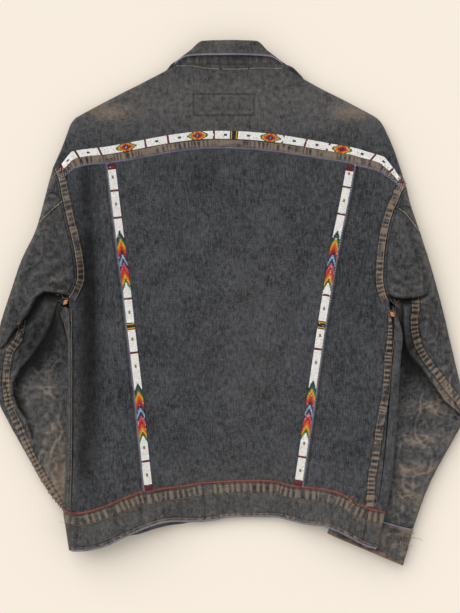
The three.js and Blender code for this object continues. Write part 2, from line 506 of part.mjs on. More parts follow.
add('back_side_right', wall(onBack(sideRXY), SIDE_COLS, sideRows('right', 0.94, 0.042), CLOTH), DENIM);

// ---------------------------------------------------------------- yoke
const yokeTop = along([...shoulderLeft, ...path(xy(NECK_BACK, 'k'), 0, 5, 20), ...shoulderRight]);
const yokeXY = coons((v) => armLeft(mix(0.11, 0, v)), (v) => armRight(mix(0.042, 0, v)),
  span(yokeSeam, -246.5, 253.8), yokeTop);
const NECK_FROM = 0.345, NECK_TO = 0.648;   // shares of the top line
// v is 0 to 1 below the bead band, 1 to 2 across it, 2 to 3 up to the fold
// and 3 to 4 round the fold to the under face
function yoke(u, v) {
  const b = yokeXY(u, 0), t = yokeXY(u, 1), len = Math.hypot(t[0] - b[0], t[1] - b[1]);
  const tight = Math.min(1, len / 44);
  const k1 = BAND_LOW * tight / len, k2 = (BAND_LOW + BAND_WIDTH) * tight / len;
  const turned = YOKE_WRAP * (1 - smooth(NECK_FROM - 0.03, NECK_FROM, u) + smooth(NECK_TO, NECK_TO + 0.03, u));
  if (v <= 3) {
    const k = v < 1 ? k1 * v : v < 2 ? mix(k1, k2, v - 1) : mix(k2, 1 - 0.5 / len * clamp(1 - turned / 2), v - 2);
    const [x, y] = yokeXY(u, k);
    return [x, y, bodyZ(x, y, 1)];
  }
  const m = (v - 3) * (turned + 0.3), [x, y] = turned > 0.5
    ? yokeXY(u, 1 - m / len) : yokeXY(u, 1 - 0.5 / len * clamp(1 - turned / 2) + m / len);
  return [x, y, bodyZ(x, y, turned > 0.5 ? -1 : 1)];
}
// columns in line with those of the panels below
const CENTRE_COLS = [e0, 1, ...Array.from({ length: 11 }, (_, i) => 1 + (i + 1) / 12), 2, 3 - e0];
const seamColumns = (v) => [...SIDE_COLS.map((u) => sideLXY(u, v)[0]), ...CENTRE_COLS.map((u) => backCentre(u, v)[0]),
  ...SIDE_COLS.map((u) => sideRXY(u, v)[0])];
const YOKE_COLS = seamColumns(1).map((x) => clamp((x + 246.5) / (253.8 + 246.5), 0.0012, 0.9988))
  .filter((u, i, all) => i === 0 || u - all[i - 1] > 0.0015);
const YOKE_ROWS = [0.022, 1, 2, 2.4, 2.8, 2.95, 3, 3.2, 4];
add('back_yoke', wall(yoke, YOKE_COLS, YOKE_ROWS, CLOTH), DENIM);
add('bead_band_yoke', wall(yoke, YOKE_COLS.slice(1, -1), [1.03, 1.97], BEAD_THICK, 1, BEAD_THICK + BEAD_GAP), BEADS);

// ---------------------------------------------------------------- fronts
// the front hem hangs a little lower than the back hem on the left
const peek = (x) => 5.5 * smooth(-150, -125, x) * (1 - smooth(-75, -45, x));
const waistFront = (x) => waistSeam(x) - peek(x);
function frontPanel(sign) {
  const left = sign < 0;
  const edge = left ? bodyLeft : bodyRight, seam = left ? seamLeft : seamRight, arm = left ? armLeft : armRight;
  const pit = left ? ARMPIT_LEFT : ARMPIT_RIGHT, top = left ? shoulderLeft : [...shoulderRight].reverse();
  const low = waistFront(edge(-300)), split = FRONT_SPLIT, inner = sign * (FRONT_GAP + PLACKET_WIDTH);
  const L = (v) => {
    if (v > split) return arm(mix(1, 0.035, (v - split) / (1 - split)));
    const y = mix(low, pit, v / split);
    return [edge(y), y];
  };
  const shoulder = top.map((p, i) => {
    const q = top[Math.min(i + 1, top.length - 1)], r = top[Math.max(i - 1, 0)];
    const l = Math.hypot(q[0] - r[0], q[1] - r[1]), in_ = YOKE_WRAP + 1;
    return [p[0] - sign * in_ * Math.abs(q[1] - r[1]) / l, p[1] - in_ * Math.abs(q[0] - r[0]) / l];
  }).filter((p) => Math.abs(p[0]) > 86 && p[1] > L(1)[1] + 3);
  const T = along([L(1), ...shoulder, ...path((k) => { const x = mix(79, 43.5, k); return [sign * x, neckFront(x)]; }, 0, 1, 10)]);
  const R = (v) => [inner, mix(waistFront(inner), neckFront(43.5), v)];
  const B = span(waistFront, L(0)[0], inner);
  const f = coons(L, R, B, T);
  // u is -1 to 0 from the side seam to the fold, 0 to 1 round the fold, 1 to 2
  // across to the placket
  return (u, v) => {
    const l = L(v), r = R(v), w = Math.hypot(r[0] - l[0], r[1] - l[1]);
    const start = v > split ? 0 : Math.abs(seam(l[1]) - l[0]) * (1 - smooth(split - 0.02, split, v));
    const near = 10;
    const m = u < 1 ? -start + (start + near) * (u + 1) / 2 : near + (w - near) * (u - 1);
    // keep a row of points on the fold itself
    const k = u < 0 ? -start * -u : u < 1 ? near * u : m;
    const d = start > 0.5 ? k : Math.max(u < 1 ? near * (u + 1) / 2 : m, 0);
    const [x, y] = f(Math.abs(d) / w, v);
    return [x, y, bodyZ(x, y, d < 0 ? 1 : -1)];
  };
}
const FRONT_COLS = [-1 + 0.28, -0.3, 0, 0.5, 1, 1.15, 1.3, 1.45, 1.6, 1.78, 1.9985];
const FRONT_SPLIT = 0.58;
const frontRows = (side) => [...cells(8, 520 * FRONT_SPLIT, 0.3).slice(0, -1).map((v) => v * FRONT_SPLIT), FRONT_SPLIT,
  ...armholeShares(side, false).map((w) => FRONT_SPLIT + (1 - FRONT_SPLIT) * (1 - w) / (1 - 0.035))
    .filter((v) => v > FRONT_SPLIT + 0.004 && v < 0.995), 0.9992];
const FRONT_ROWS = cells(12, 520, 0.4);
const frontOf = {};
for (const [side, sign] of [['left', -1], ['right', 1]]) {
  frontOf[side] = frontPanel(sign);
  add(`front_${side}`, wall(frontOf[side], FRONT_COLS, frontRows(side), CLOTH, sign), DENIM);
}
for (const [name, sign] of [['placket_left', -1], ['placket_right', 1]]) {
  const f = (u, v) => {
    const x = mix(FRONT_GAP, FRONT_GAP + PLACKET_WIDTH, u), y = mix(waistFront(sign * x), neckFront(x), v);
    return [sign * x, y, bodyZ(sign * x, y, -1)];
  };
  add(name, wall(f, [0, 0.3, 0.6, 0.996], FRONT_ROWS, DOUBLE, -sign), DENIM);
}

// ---------------------------------------------------------------- waistband
// q is 0 to 1 from the left fold to the right on the back, 1 to 2 back again
function waistband(q, t) {
  const k = ((q % 2) + 2) % 2, back = k <= 1, w = back ? k : 2 - k;
  const xs = mix(bodyLeft(-298), bodyRight(-301), w), xh = mix(bodyLeft(-356), bodyRight(-354.5), w);
  const low = back ? 0 : 1;
  const ys = waistSeam(xs) - low * peek(xs), yh = hemLine(xh) - low * peek(xh);
  const x = mix(xs, xh, t), y = mix(ys, yh, t);
  const d = Math.min(w, 1 - w) * 466;
  const top = upperside(x, y), under = underside(x, y);
  return [x, y, (top + under) / 2 + (back ? 1 : -1) * (top - under) / 2 * roll(d, ROLL)];
}
const RIGHT_JOINT = 0.946, LEFT_JOINT = -0.022, HALF = 466;
const mid = (x) => (bodyRight(-301) - x) / (bodyRight(-301) - bodyLeft(-298));
const BAND_ROWS = [0.014, 0.25, 0.75, 1];
const topShare = (x) => (x - bodyLeft(-298)) / (bodyRight(-301) - bodyLeft(-298));
const backCols = [LEFT_JOINT, -0.008, 0, 0.002, 0.007,
  ...seamColumns(0).map(topShare).filter((q, i, all) => q < RIGHT_JOINT - 0.01 && (i === 0 || q - all[i - 1] > 0.003)), RIGHT_JOINT - 0.0006];
add('waistband_back', wall(waistband, backCols, BAND_ROWS, DOUBLE, -1), WORN);
const frontShares = (side, sign) => [...FRONT_COLS.filter((u) => u > 0).map((u) => frontOf[side](u, 0)[0]),
  sign * (FRONT_GAP + PLACKET_WIDTH * 0.6), sign * (FRONT_GAP + PLACKET_WIDTH * 0.3), sign * FRONT_GAP].map((x) => 1 + mid(x));
const rightCols = [RIGHT_JOINT + 0.0006, 0.965, 0.984, 0.993, 0.998, 1, ...frontShares('right', 1).filter((q) => q > 1.001)];
add('waistband_front_right', wall(waistband, rightCols, BAND_ROWS, DOUBLE, -1), WORN);
const leftCols = [...frontShares('left', -1).reverse().filter((q) => q < 1.965), 2 + LEFT_JOINT - 0.0012];
add('waistband_front_left', wall(waistband, leftCols, BAND_ROWS, DOUBLE, -1), WORN);

// ---------------------------------------------------------------- sleeves, cuffs
for (const [side, a] of Object.entries(armOf)) {
  const s = sleeveOf[side];
  const rows = [0, 1, 2, 3, 3.5, 4, 4.5, 5, 5.5, 6, 7];
  for (let v = 8; v <= a.last; v++) rows.push(v);
  rows[rows.length - 1] -= 0.012;
  add(`sleeve_${side}_back`, wall(panel(s, s.q1, s.q2), cells(BACK_SLEEVE_COLS, 1, 0), rows, CLOTH, a.way, 0, 0.3), DENIM);
  add(`sleeve_${side}_front`, wall(panel(s, s.q2, (v) => s.q1(v) + 2), cells(FRONT_SLEEVE_COLS, 1, 0), rows, CLOTH, a.way, 0, 0.3), DENIM);
  const cuff = sleeve(a.cuff, null, null);
  const ring = (u, v) => cuff.point(v, cuff.share(v, -0.5, 1.5, u));
  add(`cuff_${side}`, wall(ring, cells(20, 240, 0.5), [0.012, 0.5, 1], DOUBLE, a.way), WORN);
}

// ---------------------------------------------------------------- collar
const col = {};
for (const n of Object.keys(COLLAR)) col[n] = curve(COLLAR, 't', n);
const COLLAR_HALF = 1.3;    // the two layers' middles are this far from the roll's plane
// u runs from the neck seam (0) up to the roll line (1) and down to the free
// edge (2); t runs round the neck
function collar(u, t) {
  const n = [col.nx(t), col.ny(t), col.nz(t)], f = [col.fx(t), col.fy(t), col.fz(t)], e = [col.ex(t), col.ey(t), col.ez(t)];
  const a = u < 1 ? n : e, k = u < 1 ? u : 2 - u;
  const far = [mix(a[0], f[0], k), mix(a[1], f[1], k), mix(a[2], f[2], k)];
  // the layers part by a little below the roll
  const up = clamp((4.0 - Math.abs(t - 8)) / 1.2, -1, 1);
  const open = roll((1 - k) * 14, 5) * COLLAR_HALF * (u < 1 ? -1 : 1) * up;
  return [far[0], far[1], far[2] + open + (u < 1 ? -1 : 1) * up * 0.8];
}
const COLLAR_T = [0, 1, 2, 2.5, 3, 3.35, 3.6, 3.8, 4, 4.5, 5, 5.5, 6, 6.5, 7, 7.5, 8, 8.5, 9, 9.5, 10, 10.5, 11, 11.5, 12, 12.2, 12.4, 12.7, 13, 13.5, 14, 15, 16];
add('collar', wall(collar, [0, 0.6, 0.94, 1, 1.06, 1.5, 2], COLLAR_T, CLOTH, 1), WORN);

// ---------------------------------------------------------------- buttons
function button() {
  const profile = [[0, 0], [3.2, 0], [3.2, 1], [BUTTON_R, 1.3], [BUTTON_R, 2.7], [BUTTON_R - 1.2, BUTTON_H], [0, BUTTON_H]];
  const g = new THREE.LatheGeometry(profile.map(([r, h]) => new THREE.Vector2(r, h)), 10);
  g.rotateX(-Math.PI / 2);    // cap towards -Z, shank end towards the cloth
  return g;
}
function addButton(name, x, y, z) {
  const g = button();
  g.translate(x, y, z - 0.35);
  add(name, g, METAL);
}
FRONT_BUTTONS.forEach((y, i) => addButton(`button_front_${i + 1}`, BUTTON_X, y, bodyZ(BUTTON_X, y, -1)));
addButton('button_waistband', BUTTON_X, waistFront(BUTTON_X) - 26, waistband(1 + mid(BUTTON_X), 0.5)[2] - 0.4);
addButton('button_cuff_left', -171, -311, 4);
addButton('button_cuff_right', 198, -335, 4);

export default jacket;
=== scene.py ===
import math

import bpy
import numpy as np
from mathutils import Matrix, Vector
from mathutils.bvhtree import BVHTree


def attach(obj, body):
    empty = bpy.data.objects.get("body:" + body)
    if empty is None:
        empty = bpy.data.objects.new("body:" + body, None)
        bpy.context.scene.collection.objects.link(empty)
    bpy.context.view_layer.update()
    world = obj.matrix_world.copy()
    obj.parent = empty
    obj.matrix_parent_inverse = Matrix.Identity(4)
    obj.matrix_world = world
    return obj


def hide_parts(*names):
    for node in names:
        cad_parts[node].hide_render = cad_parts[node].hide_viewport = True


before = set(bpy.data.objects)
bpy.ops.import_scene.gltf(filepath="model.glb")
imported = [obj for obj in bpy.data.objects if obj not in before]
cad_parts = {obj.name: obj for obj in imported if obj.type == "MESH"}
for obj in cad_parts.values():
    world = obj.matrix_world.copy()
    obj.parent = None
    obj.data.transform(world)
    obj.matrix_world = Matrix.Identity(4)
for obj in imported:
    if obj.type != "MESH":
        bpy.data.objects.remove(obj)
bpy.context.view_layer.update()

# ------------------------------------------------------------------ sizes, mm
DENIM = 1.3             # one layer of cloth
DOUBLE = 2.2            # bands folded double
ROLL = 7.0
SLEEVE_ROLL = 9.0
BODY_TOP = 12.5
FOREARM_LIFT = 22.0
NECK_LIFT = 6.5
PLACKET_LIFT = 4.6
SHOULDER_RISE = 9.0
FRONT_GAP = 3.5
PLACKET_WIDTH = 40.0
BAND_WIDTH = 11.6
BAND_LOW = 12.6
ARM_GAP = 0.5
YOKE_WRAP = 6.0
BEAD = 1.45             # pitch of the seed beads, both ways
BEAD_COLS = 8
STITCH = 3.3            # pitch of the topstitching
rng = np.random.default_rng(11)


def table(columns, rows):
    names = columns.split()
    return {n: np.array([r[i] for r in rows], float) for i, n in enumerate(names)}


BODY_LEFT = table('y x', [
    [-371.9, -229.8], [-354.5, -231.3], [-340, -235.6], [-321.2, -239.2],
    [-299.4, -240], [-284.9, -237.8], [-212.4, -234.9], [-139.9, -233.4],
    [-96.4, -232], [-60.2, -232], [-38.4, -236.3], [-18.1, -241.4], [-2.2, -243.6]])
BODY_RIGHT = table('y x', [
    [-371.9, 213.9], [-353.1, 217.5], [-329.9, 223.2], [-308.1, 225.8],
    [-289.3, 230.5], [-255.9, 235.6], [-197.9, 242.2], [-145.7, 245.8],
    [-105.1, 247.2], [-70.3, 250.1], [-48.6, 252], [-35.5, 250.5],
    [-19.6, 246.5], [-3.6, 242.9]])
SEAM_LEFT = table('y x', [
    [-302.3, -229.8], [-284.9, -226.9], [-226.9, -224.8], [-139.9, -224],
    [-60.2, -224], [-31.2, -227.7], [-9.4, -230.5], [3.6, -232]])
SEAM_RIGHT = table('y x', [
    [-302.3, 212.2], [-284.9, 216.4], [-212.4, 224.9], [-145.7, 230],
    [-105.1, 232.4], [-63.1, 236.4], [-35.5, 236.9], [-16.7, 236.3], [-0.7, 235.6]])
ARM_LEFT = table('w x y', [
    [0, -254.5, 199.4], [0.045, -250.8, 190.7], [0.11, -246.5, 179.1],
    [0.25, -240.6, 150.1], [0.45, -231.3, 109.5], [0.63, -223.2, 73.2],
    [0.79, -219.7, 39.9], [0.88, -224.8, 22.5], [0.94, -231.3, 10.9],
    [0.975, -237.1, 2.9], [1, -243.6, -2.2]])
ARM_RIGHT = table('w x y', [
    [0, 258.1, 170.4], [0.03, 255.2, 166], [0.07, 250.8, 160.2],
    [0.14, 245.8, 147.2], [0.21, 239.5, 134.1], [0.32, 233.4, 113.8],
    [0.42, 229.8, 96.4], [0.5, 227.4, 81.9], [0.61, 225.5, 61.6],
    [0.77, 224.8, 34.1], [0.87, 228.4, 15.2], [0.95, 234.2, 3.6],
    [1, 242.9, -3.6]])
SHOULDER_LEFT = table('k x y', [
    [0, -254.5, 199.4], [1, -248.7, 212.4], [2, -242.9, 225.5], [3, -234.2, 248.7],
    [4, -229.8, 260.3], [5, -222.6, 269.7], [6, -215.3, 274.1], [7, -186.3, 290],
    [8, -157.3, 305.2], [9, -128.3, 319.7], [10, -99.3, 334.2], [11, -81.9, 343.6]])
SHOULDER_RIGHT = table('k x y', [
    [0, 89.2, 340], [1, 103.7, 329.9], [2, 132.7, 313.9], [3, 161.7, 299.4],
    [4, 190.7, 284.2], [5, 205.2, 276.2], [6, 216.8, 269], [7, 224, 260.3],
    [8, 231.3, 245.8], [9, 240, 225.5], [10, 248.7, 200.8], [11, 258.1, 170.4]])
NECK_BACK = table('k x y', [
    [0, -77.6, 346.3], [1, -54.4, 346.3], [2, -25.4, 342.3], [3, 12.3, 341.5],
    [4, 42.8, 343.1], [5, 80.5, 342.3]])
NECK_FRONT = table('x y', [
    [3.5, 268], [20, 271], [43.5, 280], [58, 293], [70, 310], [79, 329]])
YOKE_SEAM = table('x y', [
    [-246.5, 179.1], [-234.2, 188.8], [-221.8, 197.2], [-209.5, 201],
    [-193.6, 203.1], [-174.7, 204.6], [-153, 207.8], [-118.2, 214.2],
    [-83.4, 220.4], [-47.9, 224.9], [-19.6, 226.5], [16.7, 225.8],
    [42.8, 224], [70.3, 221.1], [99.3, 216.8], [135.6, 211], [172.5, 205.2],
    [187.8, 200.8], [209.5, 195], [228.4, 186.3], [242.9, 175.4], [253.8, 164.6]])
WAIST_SEAM = table('x y', [
    [-242.2, -295.9], [-232.7, -300.9], [-221.1, -303.5], [-199.4, -299.9],
    [-180.5, -294.1], [-158.8, -284.9], [-139.9, -277.4], [-125.4, -273],
    [-113.8, -272.2], [-97.9, -269], [-70.3, -266.8], [-42, -262.2],
    [-5.1, -259.6], [16.7, -258.4], [42.8, -258.1], [70.3, -260],
    [90.6, -265.1], [108, -267.2], [135.6, -269.3], [154.4, -273],
    [170.4, -279.1], [189.2, -290], [205.2, -297.2], [226.9, -301.6]])
HEM = table('x y', [
    [-231.3, -356], [-221.1, -357.9], [-208.1, -357.4], [-193.6, -355.2],
    [-171.8, -348.7], [-157.3, -341.5], [-142.8, -334.7], [-128.3, -328.4],
    [-112.4, -322.6], [-93.5, -317.7], [-77.6, -316.5], [-61.6, -317.4],
    [-41.3, -317.7], [-19.6, -315.4], [2.2, -311.5], [31.2, -310.7],
    [67.4, -311], [90.6, -315.8], [113.8, -320.6], [135.6, -322.3],
    [154.4, -328.4], [172.5, -336.8], [187.8, -345.5], [205.2, -352.8],
    [216.8, -354.5]])
STRIP_LEFT = table('y x', [
    [-271.9, -115.3], [-203.7, -122.8], [-143.8, -129], [-86.3, -135.6],
    [-30.4, -142.2], [26.8, -148.6], [84.1, -155.9], [144.3, -163.4], [203.7, -170.4]])
STRIP_RIGHT = table('y x', [
    [-267.5, 100.8], [-211.8, 108.9], [-152.2, 117.9], [-98.5, 125.4],
    [-36.1, 134.7], [23.5, 144], [81.9, 154], [139.9, 166], [202.3, 177.6]])
UNDER_LEFT = table('y x', [
    [-360, -104], [-315, -118], [-269, -134], [-211, -159], [-167, -179],
    [-127, -198], [-93, -214], [-66, -227], [-46, -237], [-33, -243.6]])
UNDER_RIGHT = table('y x', [
    [-372, 131], [-334, 144], [-295, 157], [-263, 164.6], [-225.5, 174.7],
    [-192, 185], [-162, 195], [-136, 205], [-112, 215], [-90.6, 225.5],
    [-70, 235.6], [-51.5, 244], [-36, 248.7]])
SLEEVE_LEFT = table('s ox oy ix iy base top q1 q2', [
    [0, -254.5, 199.4, -243.6, -2.2, 0, 21, 0.25, 1],
    [1, -263.2, 167.5, -245, -6.5, 0, 23, 0.05, 0.985],
    [2, -279.1, 109.5, -245.5, -10.9, 0, 25, -0.12, 0.95],
    [3, -300.9, 63.1, -244.5, -16.7, 0, 26, -0.25, 0.86],
    [4, -316.8, 16.7, -242, -23.9, 0, 26, -0.36, 0.6],
    [5, -331.3, -28.3, -238, -32.6, 0, 24, -0.46, 0.35],
    [6, -340.8, -67.4, -233.5, -45.7, 0, 22, -0.56, 0.28],
    [7, -343.4, -102.2, -225.5, -66, 0, 20.4, -0.65, 0.18],
    [8, -335.7, -139.9, -213.9, -93.5, 0, 20, -0.72, 0.13],
    [9, -319, -174.7, -197.9, -126.9, 0, 20, -0.78, 0.11],
    [10, -296.5, -215.3, -179.1, -167.5, 0, 20, -0.83, 0.07],
    [11, -273.3, -255.2, -158.8, -211, 0, 20, -0.87, 0.05],
    [12, -251.6, -287.1, -142.8, -248.7, 1.5, 19.2, -0.9, 0.04],
    [13, -237.1, -303.8, -134.1, -269, 4, 18.2, -0.92, 0.04]])
SLEEVE_RIGHT = table('s ox oy ix iy base top q1 q2', [
    [0, 258.1, 170.4, 242.9, -3.6, 0, 21, 0.2, 1],
    [1, 264.6, 144.3, 244.3, -7.2, 0, 23, 0.04, 0.985],
    [2, 276.2, 109.5, 246.5, -11.6, 0, 25, -0.12, 0.94],
    [3, 291.4, 63.1, 247.8, -17.4, 0, 26, -0.25, 0.82],
    [4, 303.1, 22.5, 247.6, -25.4, 0, 26, -0.36, 0.6],
    [5, 313.9, -18.1, 246.5, -36.2, 0, 24, -0.46, 0.66],
    [6, 324.1, -61.6, 243, -51.5, 0, 22, -0.56, 0.62],
    [7, 334.9, -106.6, 235.6, -70.3, 0, 20.4, -0.65, 0.46],
    [8, 342.3, -134.1, 225.5, -90.6, 0, 20, -0.72, 0.29],
    [9, 344.4, -154.4, 215.3, -112.4, 0, 20, -0.77, 0.1],
    [10, 339.3, -174.7, 205.2, -135.6, 0, 20, -0.81, -0.02],
    [11, 327.7, -197.2, 195, -161.7, 0, 20, -0.84, -0.06],
    [12, 311.8, -225.5, 184.9, -192.1, 0, 20, -0.87, -0.08],
    [13, 295.8, -255.9, 174.7, -225.5, 0, 20, -0.89, -0.09],
    [14, 280.6, -292.2, 164.6, -263.2, 1.5, 20, -0.91, -0.1],
    [15, 269.7, -324.1, 157.3, -295.1, 4, 20, -0.92, -0.1]])
CUFF_LEFT = table('s ox oy ix iy base top', [
    [0, -235.6, -306.7, -134.1, -271.1, 4, 18.2], [1, -216.8, -348.7, -118.2, -315.4, 4, 17.6]])
CUFF_RIGHT = table('s ox oy ix iy base top', [
    [0, 269, -327.7, 156.6, -297.2, 4, 20], [1, 253.8, -380.6, 144.3, -334.2, 4, 19.6]])
COLLAR = table('t nx ny nz fx fy fz ex ey ez', [
    [0, -12.6, 273.4, 6, -11, 282, 5.2, -72, 226, 2.7],
    [1, -34.4, 280, 6, -32, 289, 5.2, -99, 262, 2.7],
    [2, -52.6, 296.4, 6, -52, 306, 5.2, -108, 292, 2.7],
    [3, -67.8, 318.6, 6.6, -70, 328, 5.4, -104, 316, 2.8],
    [3.6, -73.4, 331, 8.6, -77, 337, 6, -95, 326, 3.2],
    [4, -75.6, 341.5, 11, -85.6, 342.5, 13, -88.5, 335, 3.6],
    [5, -77, 348.4, 16, -71, 355, 20, -74, 351, 18],
    [6, -62, 348.2, 19.2, -54.5, 367.5, 22.6, -59, 358, 22],
    [7, -38, 345.8, 19.6, -37, 380.4, 23.4, -38, 359.4, 23.4],
    [8, 0, 343.6, 19.6, 0, 381.6, 23.4, 0, 359.8, 23.6],
    [9, 40, 344.9, 19.6, 39.5, 380.4, 23.4, 40, 359, 23.4],
    [10, 64, 344.8, 19.2, 56.5, 366.5, 22.6, 60, 357.4, 22],
    [11, 80, 344.6, 16, 72.6, 354.5, 20, 75, 350, 18],
    [12, 77.5, 339.5, 11, 88.2, 340.5, 13, 90, 333, 3.6],
    [12.4, 73.4, 331, 8.6, 77, 335, 6, 95, 324, 3.2],
    [13, 67.8, 318.6, 6.6, 70, 326, 5.4, 104, 316, 2.8],
    [14, 52.6, 296.4, 6, 52, 306, 5.2, 108, 292, 2.7],
    [15, 34.4, 280, 6, 32, 289, 5.2, 99, 262, 2.7],
    [16, 12.6, 273.4, 6, 11, 282, 5.2, 72, 226, 2.7]])

# soft troughs and ridges, each a three-point line with a width and a rise
BACK_FOLDS = table('x0 y0 x1 y1 x2 y2 width rise', [
    [-208, 196, -195, -24, -218, -256, 13, -3.6],
    [-182, 170, -172, 0, -186, -230, 16, 1.8],
    [144, 190, 115, 34, 40, -233, 15, -1.9],
    [200, 150, 207, -60, 190, -270, 16, 1.8],
    [-18, -140, -4, -180, 11, -221, 12, -1.6],
    [60, 160, 72, 40, 52, -90, 20, 1.3],
    [-206, 120, -215, 60, -208, -30, 6, 1.3],
    [-216, -60, -213, -150, -222, -280, 5, 1.2],
    [-150, -180, -166, -225, -158, -280, 9, 1.4],
    [-176, -200, -196, -245, -190, -292, 8, -1.8],
    [-138, 120, -128, -10, -112, -150, 9, -0.8],
    [-96, 150, -84, 20, -90, -120, 15, 0.8],
    [-40, 190, -30, 60, -44, -60, 17, -0.7],
    [10, 200, 22, 120, 14, 20, 14, 0.6],
    [96, -60, 84, -150, 60, -250, 9, 1.1],
    [-70, -130, -58, -190, -60, -255, 9, 0.8],
    [120, -120, 108, -180, 96, -250, 6, -0.9],
    [168, 60, 160, -70, 146, -220, 8, -1.5],
    [186, 170, 182, 90, 180, -10, 7, -1.2],
    [176, -60, 168, -160, 164, -275, 7, 1.0],
    [216, 60, 212, 10, 208, -60, 6, -1.4],
    [-224, 40, -212, 20, -196, 8, 6, 1.2],
    [-224, 60, -206, 52, -190, 50, 6, -1.0],
    [224, 30, 212, 14, 196, 4, 6, 1.3],
    [222, 54, 206, 44, 190, 42, 6, -1.0],
    [-120, 290, -100, 262, -92, 232, 10, -0.9],
    [120, 292, 104, 262, 98, 230, 10, -0.9],
    [-200, 262, -186, 238, -184, 214, 8, 0.9],
    [196, 258, 186, 232, 188, 210, 8, 0.9],
    [-60, 332, -20, 322, 30, 324, 8, -0.8],
    [-30, 300, 10, 296, 60, 304, 9, 0.6]])
WAIST_FOLDS = table('x0 y0 x1 y1 x2 y2 width rise', [
    [-164, -285, -162, -310, -160, -345, 5, -2.4],
    [-129, -270, -127, -300, -128, -330, 5, -2.2],
    [-98, -266, -100, -290, -96, -318, 6, 1.3],
    [-36, -260, -36, -285, -32, -316, 4, -2.0],
    [28, -256, 30, -284, 26, -312, 5, -1.8],
    [64, -258, 62, -280, 66, -310, 6, 1.1],
    [104, -264, 100, -290, 106, -320, 4, -1.2],
    [-200, -300, -196, -326, -200, -356, 7, 1.4],
    [-222, -300, -218, -326, -220, -356, 4, -1.5],
    [150, -270, 148, -300, 154, -328, 4, -1.4],
    [186, -288, 182, -312, 188, -345, 5, 1.2]])
LEFT_FOLDS = table('x0 y0 x1 y1 x2 y2 width rise', [
    [-235, 115, -250, 80, -273, 57, 12, -3.2],
    [-258, 150, -262, 110, -272, 70, 9, 2.0],
    [-242, 96, -262, 60, -290, 30, 8, 2.2],
    [-232, 60, -252, 44, -276, 34, 6, -2.6],
    [-228, 42, -246, 34, -262, 34, 4.5, 2.6],
    [-226, 34, -240, 22, -252, 20, 4, -2.6],
    [-230, 26, -240, 30, -254, 46, 3.5, 1.8],
    [-276, 70, -292, 40, -312, 0, 7, -1.8],
    [-290, 60, -304, 20, -318, -20, 6, 1.6],
    [-270, 14, -286, -4, -304, -22, 5, 2.2],
    [-262, 10, -262, -34, -292, -80, 7, 3.0],
    [-296, -18, -298, -54, -308, -84, 5, -2.2],
    [-284, -10, -284, -40, -292, -66, 5, 1.8],
    [-268, -60, -262, -100, -256, -150, 10, 2.4],
    [-262, -70, -280, -110, -296, -140, 9, -2.2],
    [-300, -120, -290, -150, -282, -190, 6, 2.2],
    [-254, -120, -268, -132, -290, -136, 6, 2.0],
    [-280, -140, -264, -150, -250, -168, 6, -1.6],
    [-246, -170, -262, -190, -272, -220, 7, 1.8],
    [-250, -200, -244, -230, -246, -270, 6, -2.0],
    [-272, -212, -262, -236, -250, -262, 5, 1.7]])
RIGHT_FOLDS = table('x0 y0 x1 y1 x2 y2 width rise', [
    [249, 127, 262, 60, 284, -10, 9, 2.6],
    [256, 124, 276, 66, 290, 20, 7, -2.6],
    [262, 118, 288, 60, 304, 8, 9, 2.0],
    [233, 74, 246, 54, 262, 50, 6, -2.0],
    [230, 54, 244, 40, 262, 28, 5, 2.2],
    [230, 34, 244, 30, 258, 34, 4.5, -2.2],
    [240, 20, 258, 22, 280, 24, 4, 2.0],
    [289, 6, 288, -26, 281, -52, 5, 3.0],
    [300, 6, 302, -40, 312, -84, 9, -2.2],
    [286, -30, 300, -66, 322, -104, 6, 2.4],
    [262, -40, 262, -90, 256, -150, 9, -2.6],
    [262, -70, 284, -100, 318, -130, 8, 2.2],
    [256, -110, 280, -128, 310, -160, 7, -2.0],
    [262, -142, 290, -150, 318, -172, 6, 2.2],
    [252, -170, 276, -178, 306, -196, 7, -2.2],
    [256, -200, 278, -206, 298, -222, 6, 2.0],
    [246, -226, 262, -236, 286, -244, 6, -1.8],
    [250, -256, 262, -262, 278, -266, 5, 1.8],
    [236, -200, 240, -250, 232, -300, 8, -2.4],
    [262, -290, 256, -306, 262, -322, 5, -1.6]])
# overhanging lips and layers: the low side lies lower by drop over the reach
LIP_L = table('x y drop reach', [
    [-226, 14, 6, 8], [-229.8, 11.4, 12, 12], [-247.2, 15.7, 17, 20], [-267.5, 17.6, 17, 22],
    [-279.1, 9.4, 16, 22], [-290.7, -13.8, 14, 18], [-303.8, -29.7, 12, 15],
    [-312.5, -39.9, 9, 12], [-322.6, -55.8, 6, 9], [-332.8, -67.4, 3, 8]])
FLAP_L = table('x y drop reach', [
    [-247.2, 5.1, 3, 14], [-258.8, -31.2, 6, 26], [-269, -51.5, 7, 32], [-288.6, -79, 8, 34],
    [-302.3, -93.5, 9, 30], [-313.2, -115.3, 10, 26], [-312.5, -134.1, 9, 24],
    [-305.9, -151.5, 8, 20], [-293.6, -168.9, 6, 16], [-287.8, -186.3, 4, 12], [-284.9, -200.8, 2, 10]])
LIP_R = table('x y drop reach', [
    [228, 12, 5, 8], [231.3, 15, 10, 10], [240.6, 9.6, 15, 13], [253, 7.7, 16, 16],
    [265.5, 8.9, 14, 14], [277, 11, 8, 9], [290.7, 16.1, 2, 8]])
FLAP_R = table('x y drop reach', [
    [254.5, 0.7, 6, 16], [254.5, -23.9, 9, 20], [255.8, -48.6, 10, 24], [258.1, -61.6, 11, 28],
    [265.5, -75.5, 10, 30], [279.1, -90.6, 9, 30], [295.9, -115.3, 8, 26],
    [313.9, -140.8, 7, 22], [334.8, -158.8, 5, 16], [345.8, -164.6, 3, 10]])
